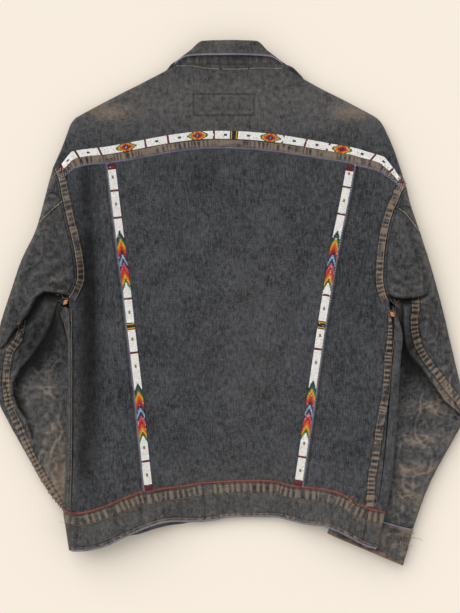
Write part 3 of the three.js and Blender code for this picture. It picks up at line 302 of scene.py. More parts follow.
FELL_L = [(-300.1, -23.9), (-300.9, -38.4), (-303.8, -51.5), (-316.8, -68.9), (-321.2, -90.6),
          (-322.8, -116.7), (-318.3, -145.7), (-308.8, -167.5), (-298, -190.7), (-287.8, -215.3),
          (-277.7, -235.6), (-266.1, -257.4), (-253, -279.1), (-241.4, -299.5)]
FELL_R = [(271, 10.8), (271, -8), (268.5, -22.5), (269.7, -41.3), (274.8, -60.2), (283.5, -77),
          (298, -96.4), (311.8, -113.8), (324.1, -129.8), (335.7, -142.8), (343.9, -155.4)]
LAP_L = [(-241.4, 149.4), (-258.8, 134.1), (-275.3, 117.6)]
LAP_R = [(245.2, 139.9), (255.9, 132.7), (267.5, 118.2), (279.5, 101.7)]
SIDE_STRIP_R = [(236.8, -14), (236.6, -34.1), (233.6, -61.6), (231.2, -77.6), (226.9, -131.2),
                (218.7, -173.3), (212.7, -216.8), (206.6, -248.7), (203.7, -296)]
SIDE_STRIP_L = [(-229.5, -8), (-228.5, -40), (-227.5, -90), (-227.5, -160), (-228, -230), (-230.5, -298)]
# rubbed and shaded places: wear is brown, fade is pale, the last column is painted shade: the back's deep side valley,
# the hollows at the armpits and the left elbow, the shadow the body casts on the right forearm, and a faint shade over
# some broad areas
WORN_AND_SHADED = table('x y rx ry wear fade dark', [
    [-176, 276, 46, 20, 0.58, 0.4, 0], [182, 277, 42, 20, 0.58, 0.4, 0],
    [-120, 300, 60, 26, 0.2, 0.15, 0], [120, 300, 60, 26, 0.2, 0.15, 0],
    [0, 300, 120, 46, 0.08, 0.12, 0],
    [-268, -122, 26, 22, 0.4, 0.5, 0], [-252, -205, 28, 56, 0.46, 0.65, 0],
    [-243, -268, 16, 40, 0.6, 0.3, 0], [-262, -40, 40, 52, 0, 0, 0.66], [-292, -66, 22, 40, 0, 0, 0.4],
    [-250, 60, 40, 50, 0, 0, 0.2], [262, 60, 40, 60, 0, 0, 0.2],
    [292, -150, 46, 14, 0.42, 0.55, 0], [280, -198, 46, 14, 0.56, 0.8, 0], [270, -238, 46, 11, 0.5, 0.7, 0],
    [262, -280, 30, 34, 0.5, 0.6, 0], [312, -128, 22, 30, 0.4, 0.25, 0],
    [262, -40, 16, 60, 0, 0, 0.5], [258, -95, 24, 44, 0, 0, 0.55],
    [-204, 60, 14, 105, 0, 0, 0.86], [-198, -110, 15, 125, 0, 0, 0.84], [-206, 165, 14, 30, 0, 0, 0.5],
    [-210, -225, 11, 50, 0, 0, 0.5], [0, 292, 230, 46, 0.1, 0.42, 0], [-222, -150, 12, 200, 0, 0, 0.12],
    [182, -60, 28, 200, 0, 0, 0.1],
    [-270, 96, 26, 60, 0.05, 0.12, 0], [282, 60, 24, 60, 0.14, 0.16, 0],
    [-250, 38, 30, 12, 0.2, 0.2, 0], [256, 26, 26, 10, 0.14, 0.2, 0],
    [-30, 190, 50, 60, 0, 0, 0.12], [40, -80, 90, 180, 0.05, 0.1, 0],
    [0, -250, 190, 26, 0.14, 0.12, 0], [205, -290, 26, 26, 0.25, 0.1, 0]])


# ------------------------------------------------------------------ helpers
def smooth(a, b, v):
    k = np.clip((np.asarray(v, float) - a) / (b - a), 0, 1)
    return k * k * (3 - 2 * k)


def mix(a, b, k):
    return a + (b - a) * k


def curve(t, key, val):
    xs, ys = t[key], t[val]
    if xs[0] > xs[-1]:
        xs, ys = xs[::-1], ys[::-1]
    h = np.diff(xs)
    d = np.diff(ys) / h
    n = len(xs)
    m = np.zeros(n)
    m[0], m[-1] = d[0], d[-1]
    for i in range(1, n - 1):
        if d[i - 1] * d[i] > 0:
            a, b = 2 * h[i] + h[i - 1], h[i] + 2 * h[i - 1]
            m[i] = (a + b) / (a / d[i - 1] + b / d[i])

    def f(x):
        x = np.asarray(x, float)
        i = np.clip(np.searchsorted(xs, x, side='right') - 1, 0, n - 2)
        k = np.clip((x - xs[i]) / h[i], 0, 1)
        k2, k3 = k * k, k * k * k
        y = ((2 * k3 - 3 * k2 + 1) * ys[i] + (k3 - 2 * k2 + k) * h[i] * m[i]
             + (3 * k2 - 2 * k3) * ys[i + 1] + (k3 - k2) * h[i] * m[i + 1])
        y = np.where(x < xs[0], ys[0] + m[0] * (x - xs[0]), y)
        return np.where(x > xs[-1], ys[-1] + m[-1] * (x - xs[-1]), y)
    return f


def xy(t, key):
    fx, fy = curve(t, key, 'x'), curve(t, key, 'y')
    return lambda k: (fx(k), fy(k))


def nearest(x, y, line):
    """Distance to a line of points, arc length there, side (+1 left of its travel) and row index."""
    line = np.asarray(line, float)
    a, ab = line[:-1], np.diff(line, axis=0)
    l2 = np.maximum((ab ** 2).sum(1), 1e-9)
    ls = np.sqrt(l2)
    start = np.concatenate([[0], np.cumsum(ls)[:-1]])
    shape = np.shape(x)
    px, py = np.ravel(x).astype(float), np.ravel(y).astype(float)
    out = np.empty((4, px.size))
    for c in range(0, px.size, 20000):
        dx = px[c:c + 20000, None] - a[None, :, 0]
        dy = py[c:c + 20000, None] - a[None, :, 1]
        k = np.clip((dx * ab[:, 0] + dy * ab[:, 1]) / l2, 0, 1)
        ex, ey = dx - k * ab[:, 0], dy - k * ab[:, 1]
        d2 = ex * ex + ey * ey
        j = d2.argmin(1)
        r = np.arange(len(j))
        cross = ab[j, 0] * dy[r, j] - ab[j, 1] * dx[r, j]
        out[0, c:c + 20000] = np.sqrt(d2[r, j])
        out[1, c:c + 20000] = start[j] + k[r, j] * ls[j]
        out[2, c:c + 20000] = np.where(cross >= 0, 1, -1)
        out[3, c:c + 20000] = j + k[r, j]
    return [o.reshape(shape) for o in out]


def folds(x, y, t):
    z = np.zeros(np.shape(x))
    for i in range(len(t['x0'])):
        line = [(t['x0'][i], t['y0'][i]), (t['x1'][i], t['y1'][i]), (t['x2'][i], t['y2'][i])]
        d, _, _, k = nearest(x, y, line)
        z += t['rise'][i] * np.exp(-(d / t['width'][i]) ** 2) * np.sin(np.pi * np.clip(0.12 + 0.38 * k, 0, 1))
    return z


def layer(x, y, t, low):
    """A lip or layer's edge: height change and the painted shade in the hollow below it. low is the low side, +1 left
    of its travel.
    """
    line = np.stack([t['x'], t['y']], 1)
    d, s, side, k = nearest(x, y, line)
    total = np.linalg.norm(np.diff(line, axis=0), axis=1).sum()
    rows = np.arange(len(line))
    drop, reach = np.interp(k, rows, t['drop']), np.interp(k, rows, t['reach'])
    ends = smooth(0, 6, s) * smooth(0, 6, total - s)
    o = side * low * d
    z = -drop * smooth(-1.0, 1.6, o) * (1 - smooth(0, 1, o / reach)) * ends
    z = z + 0.13 * drop * np.exp(-((o + 4) / 4.5) ** 2) * ends
    dark = smooth(-0.6, 1.2, o) * (1 - smooth(0.15, 1.0, o / reach)) * ends * np.clip(drop / 12, 0, 1)
    return z, dark


def noise(x, y, cell, seed):
    r = np.random.default_rng(seed).uniform(-1, 1, (64, 64))
    gx, gy = np.asarray(x, float) / cell + 1000, np.asarray(y, float) / cell + 1000
    ix, iy = np.floor(gx).astype(int), np.floor(gy).astype(int)
    fx, fy = gx - ix, gy - iy
    fx, fy = fx * fx * (3 - 2 * fx), fy * fy * (3 - 2 * fy)
    a, b = r[ix % 64, iy % 64], r[(ix + 1) % 64, iy % 64]
    c, d = r[ix % 64, (iy + 1) % 64], r[(ix + 1) % 64, (iy + 1) % 64]
    return (a * (1 - fx) + b * fx) * (1 - fy) + (c * (1 - fx) + d * fx) * fy


def fbm(x, y, cell, seed, octaves=3):
    return sum(noise(x, y, cell / 2 ** i, seed + i) / 2 ** i for i in range(octaves)) / 1.75


def roll(d, r):
    k = 1 - np.clip(d / r, 0, 1)
    return np.sqrt(np.maximum(0, 1 - k * k))


def along(line):
    line = np.asarray(line, float)
    at = np.concatenate([[0], np.cumsum(np.linalg.norm(np.diff(line, axis=0), axis=1))])
    return lambda k: tuple(np.interp(np.asarray(k) * at[-1], at, line[:, c]) for c in range(line.shape[1]))


def length(line):
    return float(np.linalg.norm(np.diff(np.asarray(line, float), axis=0), axis=1).sum())


def resample(line, step):
    n = max(2, int(round(length(line) / step)))
    return np.stack(along(line)(np.linspace(0, 1, n + 1)), 1)


def coons(L, R, B, T):
    c00, c10, c01, c11 = B(0.0), B(1.0), T(0.0), T(1.0)

    def f(u, v):
        l, r, b, t = L(v), R(v), B(u), T(u)
        return tuple((1 - u) * l[k] + u * r[k] + (1 - v) * b[k] + v * t[k]
                     - ((1 - u) * (1 - v) * c00[k] + u * (1 - v) * c10[k]
                        + (1 - u) * v * c01[k] + u * v * c11[k]) for k in (0, 1))
    return f


# ------------------------------------------------------------------ body form
bodyLeft, bodyRight = curve(BODY_LEFT, 'y', 'x'), curve(BODY_RIGHT, 'y', 'x')
seamLeft, seamRight = curve(SEAM_LEFT, 'y', 'x'), curve(SEAM_RIGHT, 'y', 'x')
yokeSeam = curve(YOKE_SEAM, 'x', 'y')
waistSeam, hemLine = curve(WAIST_SEAM, 'x', 'y'), curve(HEM, 'x', 'y')
stripLeft, stripRight = curve(STRIP_LEFT, 'y', 'x'), curve(STRIP_RIGHT, 'y', 'x')
underLeft, underRight = curve(UNDER_LEFT, 'y', 'x'), curve(UNDER_RIGHT, 'y', 'x')
neckFront = curve(NECK_FRONT, 'x', 'y')
armLeft, armRight = xy(ARM_LEFT, 'w'), xy(ARM_RIGHT, 'w')
ARMPIT_LEFT, ARMPIT_RIGHT = -2.2, -3.6


def path(f, a, b, n):
    return np.stack(f(np.linspace(a, b, n + 1)), 1)


sideLeftLine = path(lambda y: (bodyLeft(y), y), -371.9, ARMPIT_LEFT, 60)
sideRightLine = path(lambda y: (bodyRight(y), y), -371.9, ARMPIT_RIGHT, 60)
shoulderLeft = path(xy(SHOULDER_LEFT, 'k'), 0, 11, 44)
shoulderRight = path(xy(SHOULDER_RIGHT, 'k'), 0, 11, 44)
FOLDED = [sideLeftLine, sideRightLine, shoulderLeft, shoulderRight]


def overForearm(x, y, inside, outside):
    s = np.where(x < 0, 1 - smooth(0, 1, (x - underLeft(y) - inside) / (outside - inside)),
                 smooth(0, 1, (x - underRight(y) + outside) / (outside - inside)))
    return s * (1 - smooth(-50, 12, y))


def underside(x, y):
    placket = 1 - smooth(24, 46, np.abs(x))
    neck = (1 - smooth(112, 136, np.abs(x))) * smooth(196, 226, y)
    return FOREARM_LIFT * overForearm(x, y, 14, 54) + np.maximum(PLACKET_LIFT * placket, NECK_LIFT * neck)


def upperside(x, y):
    shoulder = smooth(110, 235, np.abs(x)) * smooth(-70, 70, y)
    neck = (1 - smooth(90, 190, np.abs(x))) * smooth(150, 250, y)
    return (BODY_TOP + FOREARM_LIFT * overForearm(x, y, -25, 92) + SHOULDER_RISE * shoulder
            + NECK_LIFT * neck + folds(x, y, BACK_FOLDS) + folds(x, y, WAIST_FOLDS)
            + 0.9 * fbm(x, y, 70, 3) + 0.35 * fbm(x, y, 19, 9))


def edge_distance(x, y):
    d = np.full(np.shape(x), 99.0)
    for line in FOLDED:
        d = np.minimum(d, nearest(x, y, line)[0])
    return d


def body_z(x, y, side):
    top, low = upperside(x, y), underside(x, y)
    return (top + low) / 2 + side * (top - low) / 2 * roll(edge_distance(x, y), ROLL)


# felled strips: lo to hi is the strip, as a distance to the left of the line
STRIPS = [
    dict(line=path(lambda x: (x, yokeSeam(x)), -246, 253, 160), lo=0.6, hi=11.8, rise=0.9, wave=6, amp=0.55, wear=1.12, base=0.66, rung=0.42, seed=1),
    dict(line=path(armLeft, 0.02, 0.95, 60), lo=0.5, hi=11.5, rise=0.9, wave=6.5, amp=0.45, wear=0.98, base=0.62, rung=0.4, seed=2),
    dict(line=path(armRight, 0.0, 0.93, 60)[::-1], lo=0.5, hi=11.5, rise=0.9, wave=6.5, amp=0.45, wear=1.0, base=0.62, rung=0.4, seed=3),
    dict(line=path(lambda x: (x, waistSeam(x)), -240, 226, 140), lo=-16, hi=-3.5, rise=0.7, wave=8.5, amp=1.2, wear=1.1, base=0.22, rung=1.25, seed=4),
    dict(line=SIDE_STRIP_R, lo=-5.8, hi=5.8, rise=0.9, wave=7, amp=0.8, wear=1.12, base=0.42, seed=5),
    dict(line=SIDE_STRIP_L, lo=-2.6, hi=2.6, rise=0.7, wave=6, amp=0.6, wear=1.05, base=0.42, seed=6),
    dict(line=path(lambda x: (x, hemLine(x)), -229, 215, 140), lo=1.2, hi=6.5, rise=0.5, wave=10, amp=0.4, wear=0.6, seed=7),
    dict(line=path(lambda y: (stripLeft(y) - BAND_WIDTH / 2, y), -268, 200, 80), lo=0.2, hi=4.6, rise=0.3, wave=9, amp=0.25, wear=0.1, seed=8),
    dict(line=path(lambda y: (stripRight(y) + BAND_WIDTH / 2, y), -264, 200, 80), lo=-4.6, hi=-0.2, rise=0.3, wave=9, amp=0.25, wear=0.1, seed=9),
]
STRIPS_L = [
    dict(line=FELL_L, lo=-5.6, hi=5.6, rise=1.0, wave=7, amp=1.0, wear=1.2, base=0.46, seed=21),
    dict(line=LAP_L, lo=0, hi=2.2, rise=0.6, wave=6, amp=0.2, wear=0.9, seed=22),
    dict(line=path(armLeft, 0.02, 0.98, 60), lo=-3.2, hi=-0.5, rise=0.3, wave=7, amp=0.5, wear=0.5, seed=23),
]
STRIPS_R = [
    dict(line=FELL_R, lo=-5.6, hi=5.6, rise=1.0, wave=7, amp=1.0, wear=1.25, base=0.46, seed=31),
    dict(line=LAP_R, lo=-2.2, hi=0, rise=0.6, wave=6, amp=0.2, wear=0.95, seed=32),
    dict(line=path(armRight, 0.02, 0.98, 60)[::-1], lo=-3.2, hi=-0.5, rise=0.3, wave=7, amp=0.5, wear=0.5, seed=33),
]


def strips(x, y, table_):
    """Height, wear and painted shade that the felled seams add; the shade lies in the troughs between the rungs and
    just outside the strip edges.
    """
    h, wear, dark = (np.zeros(np.shape(x)) for _ in range(3))
    for t in table_:
        line = np.asarray(t['line'], float)
        d, s, side, _ = nearest(x, y, line)
        o, total = d * side, length(line)
        lo, hi = t['lo'], t['hi']
        ends = smooth(-0.1, 2, s) * smooth(-0.1, 2, total - s)
        inside = smooth(lo - 0.6, lo + 0.6, o) * (1 - smooth(hi - 0.6, hi + 0.6, o)) * ends
        near = smooth(lo - 9, lo, o) * (1 - smooth(hi, hi + 9, o)) * ends
        u = s / t['wave']
        phase = 2 * np.pi * (u + 0.75 * noise(u, u * 0 + t['seed'], 2.7, 40 + t['seed']) + 0.2 * noise(u, u * 0 + t['seed'], 0.9, 80 + t['seed']))
        strength = 0.62 + 0.75 * noise(u, u * 0 + 5, 1.7, 60 + t['seed']) + 0.25 * noise(x, y, 5, 61 + t['seed'])
        ridge = np.sin(phase + 0.05 * o)
        h += inside * t['rise'] + t['amp'] * ridge * strength * (0.35 * near + 0.65 * inside)
        rub = np.clip(t.get('base', 0.34) + t.get('rung', 0.85) * ridge * strength + 0.5 * fbm(x, y, 9, 90 + t['seed']), 0, 1)
        wear = np.maximum(wear, inside * t['wear'] * rub)
        wear = np.maximum(wear, 0.28 * t['wear'] * near * rub)
        # painted shade in the troughs between the rungs
        dark = np.maximum(dark, 0.42 * inside * np.clip(-ridge * strength, 0, 1) * min(1, t['amp'] + 0.2))
        # painted shadow lines just outside both strip edges, where the raised strip would shade the cloth beside it
        for edge in (lo, hi):
            dark = np.maximum(dark, 0.75 * np.exp(-((o - edge + (0.7 if edge == lo else -0.7)) / 0.75) ** 2) * ends * near)
    return h, wear, dark


def worn_and_shaded(x, y):
    # wear and fade are the cloth's own colour; the third sum is painted shade
    wear, fade, dark = (np.zeros(np.shape(x)) for _ in range(3))
    for i in range(len(WORN_AND_SHADED['x'])):
        q = np.exp(-((x - WORN_AND_SHADED['x'][i]) / WORN_AND_SHADED['rx'][i]) ** 2 - ((y - WORN_AND_SHADED['y'][i]) / WORN_AND_SHADED['ry'][i]) ** 2)
        wear += WORN_AND_SHADED['wear'][i] * q
        fade += WORN_AND_SHADED['fade'][i] * q
        dark += WORN_AND_SHADED['dark'][i] * q
    return np.clip(wear, 0, 1), np.clip(fade, 0, 1), np.clip(dark, 0, 0.9)


# ------------------------------------------------------------------ materials
def nodes_of(name):
    m = bpy.data.materials.new(name)
    m.use_nodes = True
    t = m.node_tree
    return m, t, t.nodes['Principled BSDF']


def add_node(t, kind, **inputs):
    n = t.nodes.new(kind)
    for k, v in inputs.items():
        n.inputs[k.replace('_', ' ')].default_value = v
    return n


def maths(t, op, a, b=None, clamp=False):
    n = t.nodes.new('ShaderNodeMath')
    n.operation = op
    n.use_clamp = clamp
    for i, v in enumerate((a, b)):
        if v is None:
            continue
        if isinstance(v, (int, float)):
            n.inputs[i].default_value = v
        else:
            t.links.new(v, n.inputs[i])
    return n.outputs[0]


def blend_colour(t, factor, a, b, kind='MIX'):
    n = t.nodes.new('ShaderNodeMix')
    n.data_type = 'RGBA'
    n.blend_type = kind
    if isinstance(factor, (int, float)):
        n.inputs[0].default_value = factor
    else:
        t.links.new(factor, n.inputs[0])
    for i, v in ((6, a), (7, b)):
        if isinstance(v, tuple):
            n.inputs[i].default_value = (*v, 1)
        else:
            t.links.new(v, n.inputs[i])
    return n.outputs[2]


def denim_material(name, base, pale, brown, seed=0.0):
    m, t, bsdf = nodes_of(name)
    co = t.nodes.new('ShaderNodeTexCoord').outputs['Object']
    shift = add_node(t, 'ShaderNodeMapping', Location=(seed, seed * 0.7, 0))
    t.links.new(co, shift.inputs['Vector'])
    co = shift.outputs[0]

    def tex(scale, detail, rough=0.6, stretch=(1, 1, 1)):
        mp = add_node(t, 'ShaderNodeMapping', Scale=stretch)
        t.links.new(co, mp.inputs['Vector'])
        n = add_node(t, 'ShaderNodeTexNoise', Scale=scale, Detail=detail, Roughness=rough)
        t.links.new(mp.outputs[0], n.inputs['Vector'])
        return n.outputs[0]

    def attribute(a):
        n = t.nodes.new('ShaderNodeAttribute')
        n.attribute_name = a
        return n.outputs['Fac']
    wear, fade, dark = attribute('wear'), attribute('fade'), attribute('dark')
    broad, patch = tex(26, 3), tex(150, 5, 0.65)
    fine, slub = tex(620, 3, 0.7), tex(240, 3, 0.6, (2.6, 0.35, 1))
    scratch = tex(170, 8, 0.8, (0.8, 1.4, 1))
    wisp = tex(75, 7, 0.75, (1.6, 0.7, 1))
    # mottled ground
    tone = maths(t, 'ADD', maths(t, 'MULTIPLY', fine, 2.0), maths(t, 'MULTIPLY', slub, 1.5))
    tone = maths(t, 'ADD', tone, maths(t, 'MULTIPLY', patch, 1.1))
    tone = maths(t, 'ADD', tone, maths(t, 'MULTIPLY', broad, 0.8))
    tone = maths(t, 'SUBTRACT', tone, 2.28, True)
    ground = blend_colour(t, tone, tuple(c * 0.36 for c in base), tuple(c * 2.8 for c in base))
    # pale rubbing
    f = maths(t, 'MULTIPLY', fade, maths(t, 'MULTIPLY', maths(t, 'SUBTRACT', patch, 0.22), 2.5), True)
    ground = blend_colour(t, f, ground, pale)
    # brown wear comes through in patches
    w = maths(t, 'ADD', maths(t, 'MULTIPLY', wear, 1.12), maths(t, 'SUBTRACT', scratch, 1.0))
    w = maths(t, 'ADD', w, maths(t, 'MULTIPLY', maths(t, 'SUBTRACT', fine, 0.5), 0.5))
    w = maths(t, 'MULTIPLY', w, 2.1, True)
    ground = blend_colour(t, maths(t, 'MULTIPLY', w, 0.68), ground, brown)
    # thin pale wispy streaks everywhere: painted highlight streaks
    ridge = maths(t, 'SUBTRACT', 1.0, maths(t, 'MULTIPLY', maths(t, 'ABSOLUTE', maths(t, 'SUBTRACT', wisp, 0.5)), 42.0), True)
    some = maths(t, 'MULTIPLY', maths(t, 'SUBTRACT', patch, 0.47), 5.0, True)
    ground = blend_colour(t, maths(t, 'MULTIPLY', maths(t, 'MULTIPLY', ridge, some), 0.42), ground, pale)
    # painted shade: the third attribute darkens the colour in creases, hollows and cast shadows; on the yoke it also
    # carries the old stitch marks
    shade = maths(t, 'SUBTRACT', 1.0, maths(t, 'MULTIPLY', dark, 0.86))
    grey = t.nodes.new('ShaderNodeCombineColor')
    for i in range(3):
        t.links.new(shade, grey.inputs[i])
    colour = blend_colour(t, 1.0, ground, grey.outputs[0], 'MULTIPLY')
    t.links.new(colour, bsdf.inputs['Base Color'])
    bsdf.inputs['Roughness'].default_value = 0.93
    bsdf.inputs['Specular IOR Level'].default_value = 0.18
    bsdf.inputs['Sheen Weight'].default_value = 0.06
    bsdf.inputs['Sheen Roughness'].default_value = 0.6
    twill = add_node(t, 'ShaderNodeTexWave', Scale=330, Distortion=1.2, Detail=1.5)
    twill.wave_type, twill.bands_direction = 'BANDS', 'DIAGONAL'
    t.links.new(co, twill.inputs['Vector'])
    height = maths(t, 'ADD', maths(t, 'MULTIPLY', twill.outputs['Fac'], 0.35), maths(t, 'MULTIPLY', fine, 0.9))
    height = maths(t, 'ADD', height, maths(t, 'MULTIPLY', patch, 1.3))
    bump = add_node(t, 'ShaderNodeBump', Strength=0.55, Distance=0.0009)
    t.links.new(height, bump.inputs['Height'])
    t.links.new(bump.outputs[0], bsdf.inputs['Normal'])
    return m


def thread_material(name, a, b, scale=900):
    m, t, bsdf = nodes_of(name)
    co = t.nodes.new('ShaderNodeTexCoord').outputs['Object']
    n = add_node(t, 'ShaderNodeTexNoise', Scale=scale, Detail=2)
    t.links.new(co, n.inputs['Vector'])
    n2 = add_node(t, 'ShaderNodeTexNoise', Scale=60, Detail=2)
    t.links.new(co, n2.inputs['Vector'])
    f = maths(t, 'MULTIPLY', maths(t, 'SUBTRACT', maths(t, 'ADD', n.outputs[0], n2.outputs[0]), 0.62), 2.4, True)
    t.links.new(blend_colour(t, f, a, b), bsdf.inputs['Base Color'])
    bsdf.inputs['Roughness'].default_value = 0.8
    bsdf.inputs['Specular IOR Level'].default_value = 0.25
    w = add_node(t, 'ShaderNodeTexWave', Scale=700, Distortion=0.5)
    t.links.new(co, w.inputs['Vector'])
    bump = add_node(t, 'ShaderNodeBump', Strength=0.4, Distance=0.0003)
    t.links.new(w.outputs['Fac'], bump.inputs['Height'])
    t.links.new(bump.outputs[0], bsdf.inputs['Normal'])
    return m


def bead_material():
    m, t, bsdf = nodes_of('seed_beads')
    a = t.nodes.new('ShaderNodeAttribute')
    a.attribute_name = 'tint'
    co = t.nodes.new('ShaderNodeTexCoord').outputs['Object']
    n = add_node(t, 'ShaderNodeTexNoise', Scale=420, Detail=2)
    t.links.new(co, n.inputs['Vector'])
    f = maths(t, 'MULTIPLY', maths(t, 'SUBTRACT', n.outputs[0], 0.45), 1.6, True)
    t.links.new(blend_colour(t, maths(t, 'MULTIPLY', f, 0.05), a.outputs['Color'], (0.30, 0.26, 0.22)), bsdf.inputs['Base Color'])
    bsdf.inputs['Roughness'].default_value = 0.3
    bsdf.inputs['Specular IOR Level'].default_value = 0.12
    bsdf.inputs['Coat Weight'].default_value = 0.0
    bsdf.inputs['Coat Roughness'].default_value = 0.1
    bump = add_node(t, 'ShaderNodeBump', Strength=0.15, Distance=0.0002)
    t.links.new(n.outputs[0], bump.inputs['Height'])
    t.links.new(bump.outputs[0], bsdf.inputs['Normal'])
    return m


def metal_material():
    m, t, bsdf = nodes_of('aged_copper')
    co = t.nodes.new('ShaderNodeTexCoord').outputs['Object']
    n = add_node(t, 'ShaderNodeTexNoise', Scale=300, Detail=6, Roughness=0.7)
    t.links.new(co, n.inputs['Vector'])
    f = maths(t, 'MULTIPLY', maths(t, 'SUBTRACT', n.outputs[0], 0.4), 3.2, True)
    t.links.new(blend_colour(t, f, (0.36, 0.2, 0.11), (0.12, 0.085, 0.065)), bsdf.inputs['Base Color'])
    t.links.new(maths(t, 'ADD', maths(t, 'MULTIPLY', f, 0.3), 0.32), bsdf.inputs['Roughness'])
    bsdf.inputs['Metallic'].default_value = 0.9
    bump = add_node(t, 'ShaderNodeBump', Strength=0.3, Distance=0.0003)
    t.links.new(n.outputs[0], bump.inputs['Height'])
    t.links.new(bump.outputs[0], bsdf.inputs['Normal'])
    return m


BLACK_DENIM = denim_material('denim_charcoal', (0.0350, 0.0362, 0.0392), (0.16, 0.143, 0.127), (0.32, 0.23, 0.16))
WORN_DENIM = denim_material('denim_rubbed', (0.042, 0.0405, 0.040), (0.17, 0.155, 0.14), (0.26, 0.20, 0.15), 0.37)
LAVENDER = thread_material('thread_lavender', (0.24, 0.24, 0.46), (0.70, 0.67, 0.84))
RED_CORD = thread_material('thread_coral', (0.30, 0.04, 0.028), (0.58, 0.17, 0.12))
TAN_PALE = thread_material('thread_tan_pale', (0.24, 0.165, 0.11), (0.50, 0.38, 0.27))
TAN = thread_material('thread_tan', (0.12, 0.082, 0.055), (0.34, 0.25, 0.175))
ORANGE = thread_material('thread_orange', (0.36, 0.12, 0.05), (0.60, 0.27, 0.13))
MAROON = thread_material('lining_maroon', (0.02, 0.015, 0.03), (0.09, 0.02, 0.04), 200)
BACKING = thread_material('band_backing', (0.10, 0.09, 0.085), (0.28, 0.26, 0.24))
BEADS = bead_material()
COPPER = metal_material()


# ------------------------------------------------------------------ mesh builders
def new_object(name, verts, faces, material, attrs=None, tint=None, shade=True):
    me = bpy.data.meshes.new(name)
    me.from_pydata((np.asarray(verts) / 1000.0).tolist(), [], faces)
    for k, v in (attrs or {}).items():
        a = me.attributes.new(k, 'FLOAT', 'POINT')
        a.data.foreach_set('value', np.asarray(v, np.float32))
    if tint is not None:
        a = me.attributes.new('tint', 'FLOAT_COLOR', 'POINT')
        a.data.foreach_set('color', np.asarray(tint, np.float32).ravel())
    me.materials.append(material)
    me.polygons.foreach_set('use_smooth', [shade] * len(me.polygons))
    me.update()
    o = bpy.data.objects.new(name, me)
    bpy.context.scene.collection.objects.link(o)
    return o


def normals_of(P, way):
    n = np.cross(np.gradient(P, axis=0), np.gradient(P, axis=1)) * way
    l = np.linalg.norm(n, axis=2, keepdims=True)
    return n / np.maximum(l, 1e-9)


def area_of(P):
    a = np.linalg.norm(np.cross(P[1:, :-1] - P[:-1, :-1], P[:-1, 1:] - P[:-1, :-1]), axis=2).sum() / 2
    b = np.linalg.norm(np.cross(P[1:, :-1] - P[1:, 1:], P[:-1, 1:] - P[1:, 1:]), axis=2).sum() / 2
    return float(a + b)


TRIANGLES = {}


def cloth(name, base, way, thick, micro, attrs, material, nodes, slot, k=4):
    """A thin closed shell of cloth on base, a grid of points; micro lifts its outer face along the normal."""
    nu, nv, _ = base.shape
    n = normals_of(base, way)
    outer = base + n * micro[..., None]
    inner = base[::k, ::k] - n[::k, ::k] * thick
    mu, mv = inner.shape[:2]
    N = nu * nv
    verts = np.concatenate([outer.reshape(-1, 3), inner.reshape(-1, 3)])
    idx, jdx = np.arange(N).reshape(nu, nv), N + np.arange(mu * mv).reshape(mu, mv)

    def quads(g, flip):
        q = np.stack([g[:-1, :-1], g[1:, :-1], g[1:, 1:], g[:-1, 1:]], -1).reshape(-1, 4)
        return q[:, ::-1] if flip else q
    faces = quads(idx, way < 0).tolist() + quads(jdx, way > 0).tolist()
    rims = [(idx[:, 0], jdx[:, 0]), (idx[-1, :], jdx[-1, :]), (idx[::-1, -1], jdx[::-1, -1]), (idx[0, ::-1], jdx[0, ::-1])]
    for F, C in rims:
        for j in range(len(C) - 1):
            tri = [(F[j * k + t + 1], F[j * k + t], C[j] if t < k // 2 else C[j + 1]) for t in range(k)]
            tri.append((F[j * k + k // 2], C[j], C[j + 1]))
            faces += [tuple(int(a) for a in (f if way > 0 else f[::-1])) for f in tri]
    full = {}
    for key in ('wear', 'fade', 'dark'):
        v = np.broadcast_to(attrs.get(key, 0.0), (nu, nv))
        full[key] = np.concatenate([v.ravel(), v[::k, ::k].ravel()])
    o = new_object(name, verts, faces, material, full)
    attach(o, 'root')
    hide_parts(*nodes)
    area = area_of(base[::2, ::2]) / 1e6
    TRIANGLES[name] = 2 * (nu - 1) * (nv - 1) + 2 * (mu - 1) * (mv - 1) + sum((len(C) - 1) * (k + 1) for _, C in rims)
    return o


def body_attributes(x, y, extra=STRIPS, scale=1.0):
    h, wear, dark = strips(x, y, extra)
    w2, f2, d2 = worn_and_shaded(x, y)
    # the third attribute is painted shade from the seams and the shaded places
    return h, dict(wear=np.clip(wear + w2 * scale, 0, 1.2), fade=f2, dark=np.clip(dark + d2, 0, 1))


def curvature_shade_and_wear(B):
    """Deep narrow troughs get painted shade, high ridges a little more wear."""
    z = B[..., 2]
    blur = z.copy()
    for _ in range(6):
        blur[1:-1, 1:-1] = (blur[1:-1, 1:-1] * 4 + blur[2:, 1:-1] + blur[:-2, 1:-1] + blur[1:-1, 2:] + blur[1:-1, :-2]) / 8
    return np.clip((blur - z) * 1.2, 0, 0.5), np.clip((z - blur) * 1.6, 0, 0.5)


# ------------------------------------------------------------------ back panels
lineLeft = lambda y: stripLeft(y) - BAND_WIDTH / 2
lineRight = lambda y: stripRight(y) + BAND_WIDTH / 2


def meet(fx, fy, y0):
    y = y0
    for _ in range(30):
        y = float(fy(fx(y)))
    return y


LOW_L, HIGH_L = meet(lineLeft, waistSeam, -270), meet(lineLeft, yokeSeam, 205)
LOW_R, HIGH_R = meet(lineRight, waistSeam, -270), meet(lineRight, yokeSeam, 205)


def seamL(v):
    y = mix(LOW_L, HIGH_L, np.asarray(v, float))
    return lineLeft(y), y


def seamR(v):
    y = mix(LOW_R, HIGH_R, np.asarray(v, float))
    return lineRight(y), y


def span(f, a, b):
    def g(u):
        x = mix(a, b, np.asarray(u, float))
        return x, f(x)
    return g


centreXY = coons(seamL, seamR, span(waistSeam, seamL(0)[0], seamR(0)[0]), span(yokeSeam, seamL(1)[0], seamR(1)[0]))


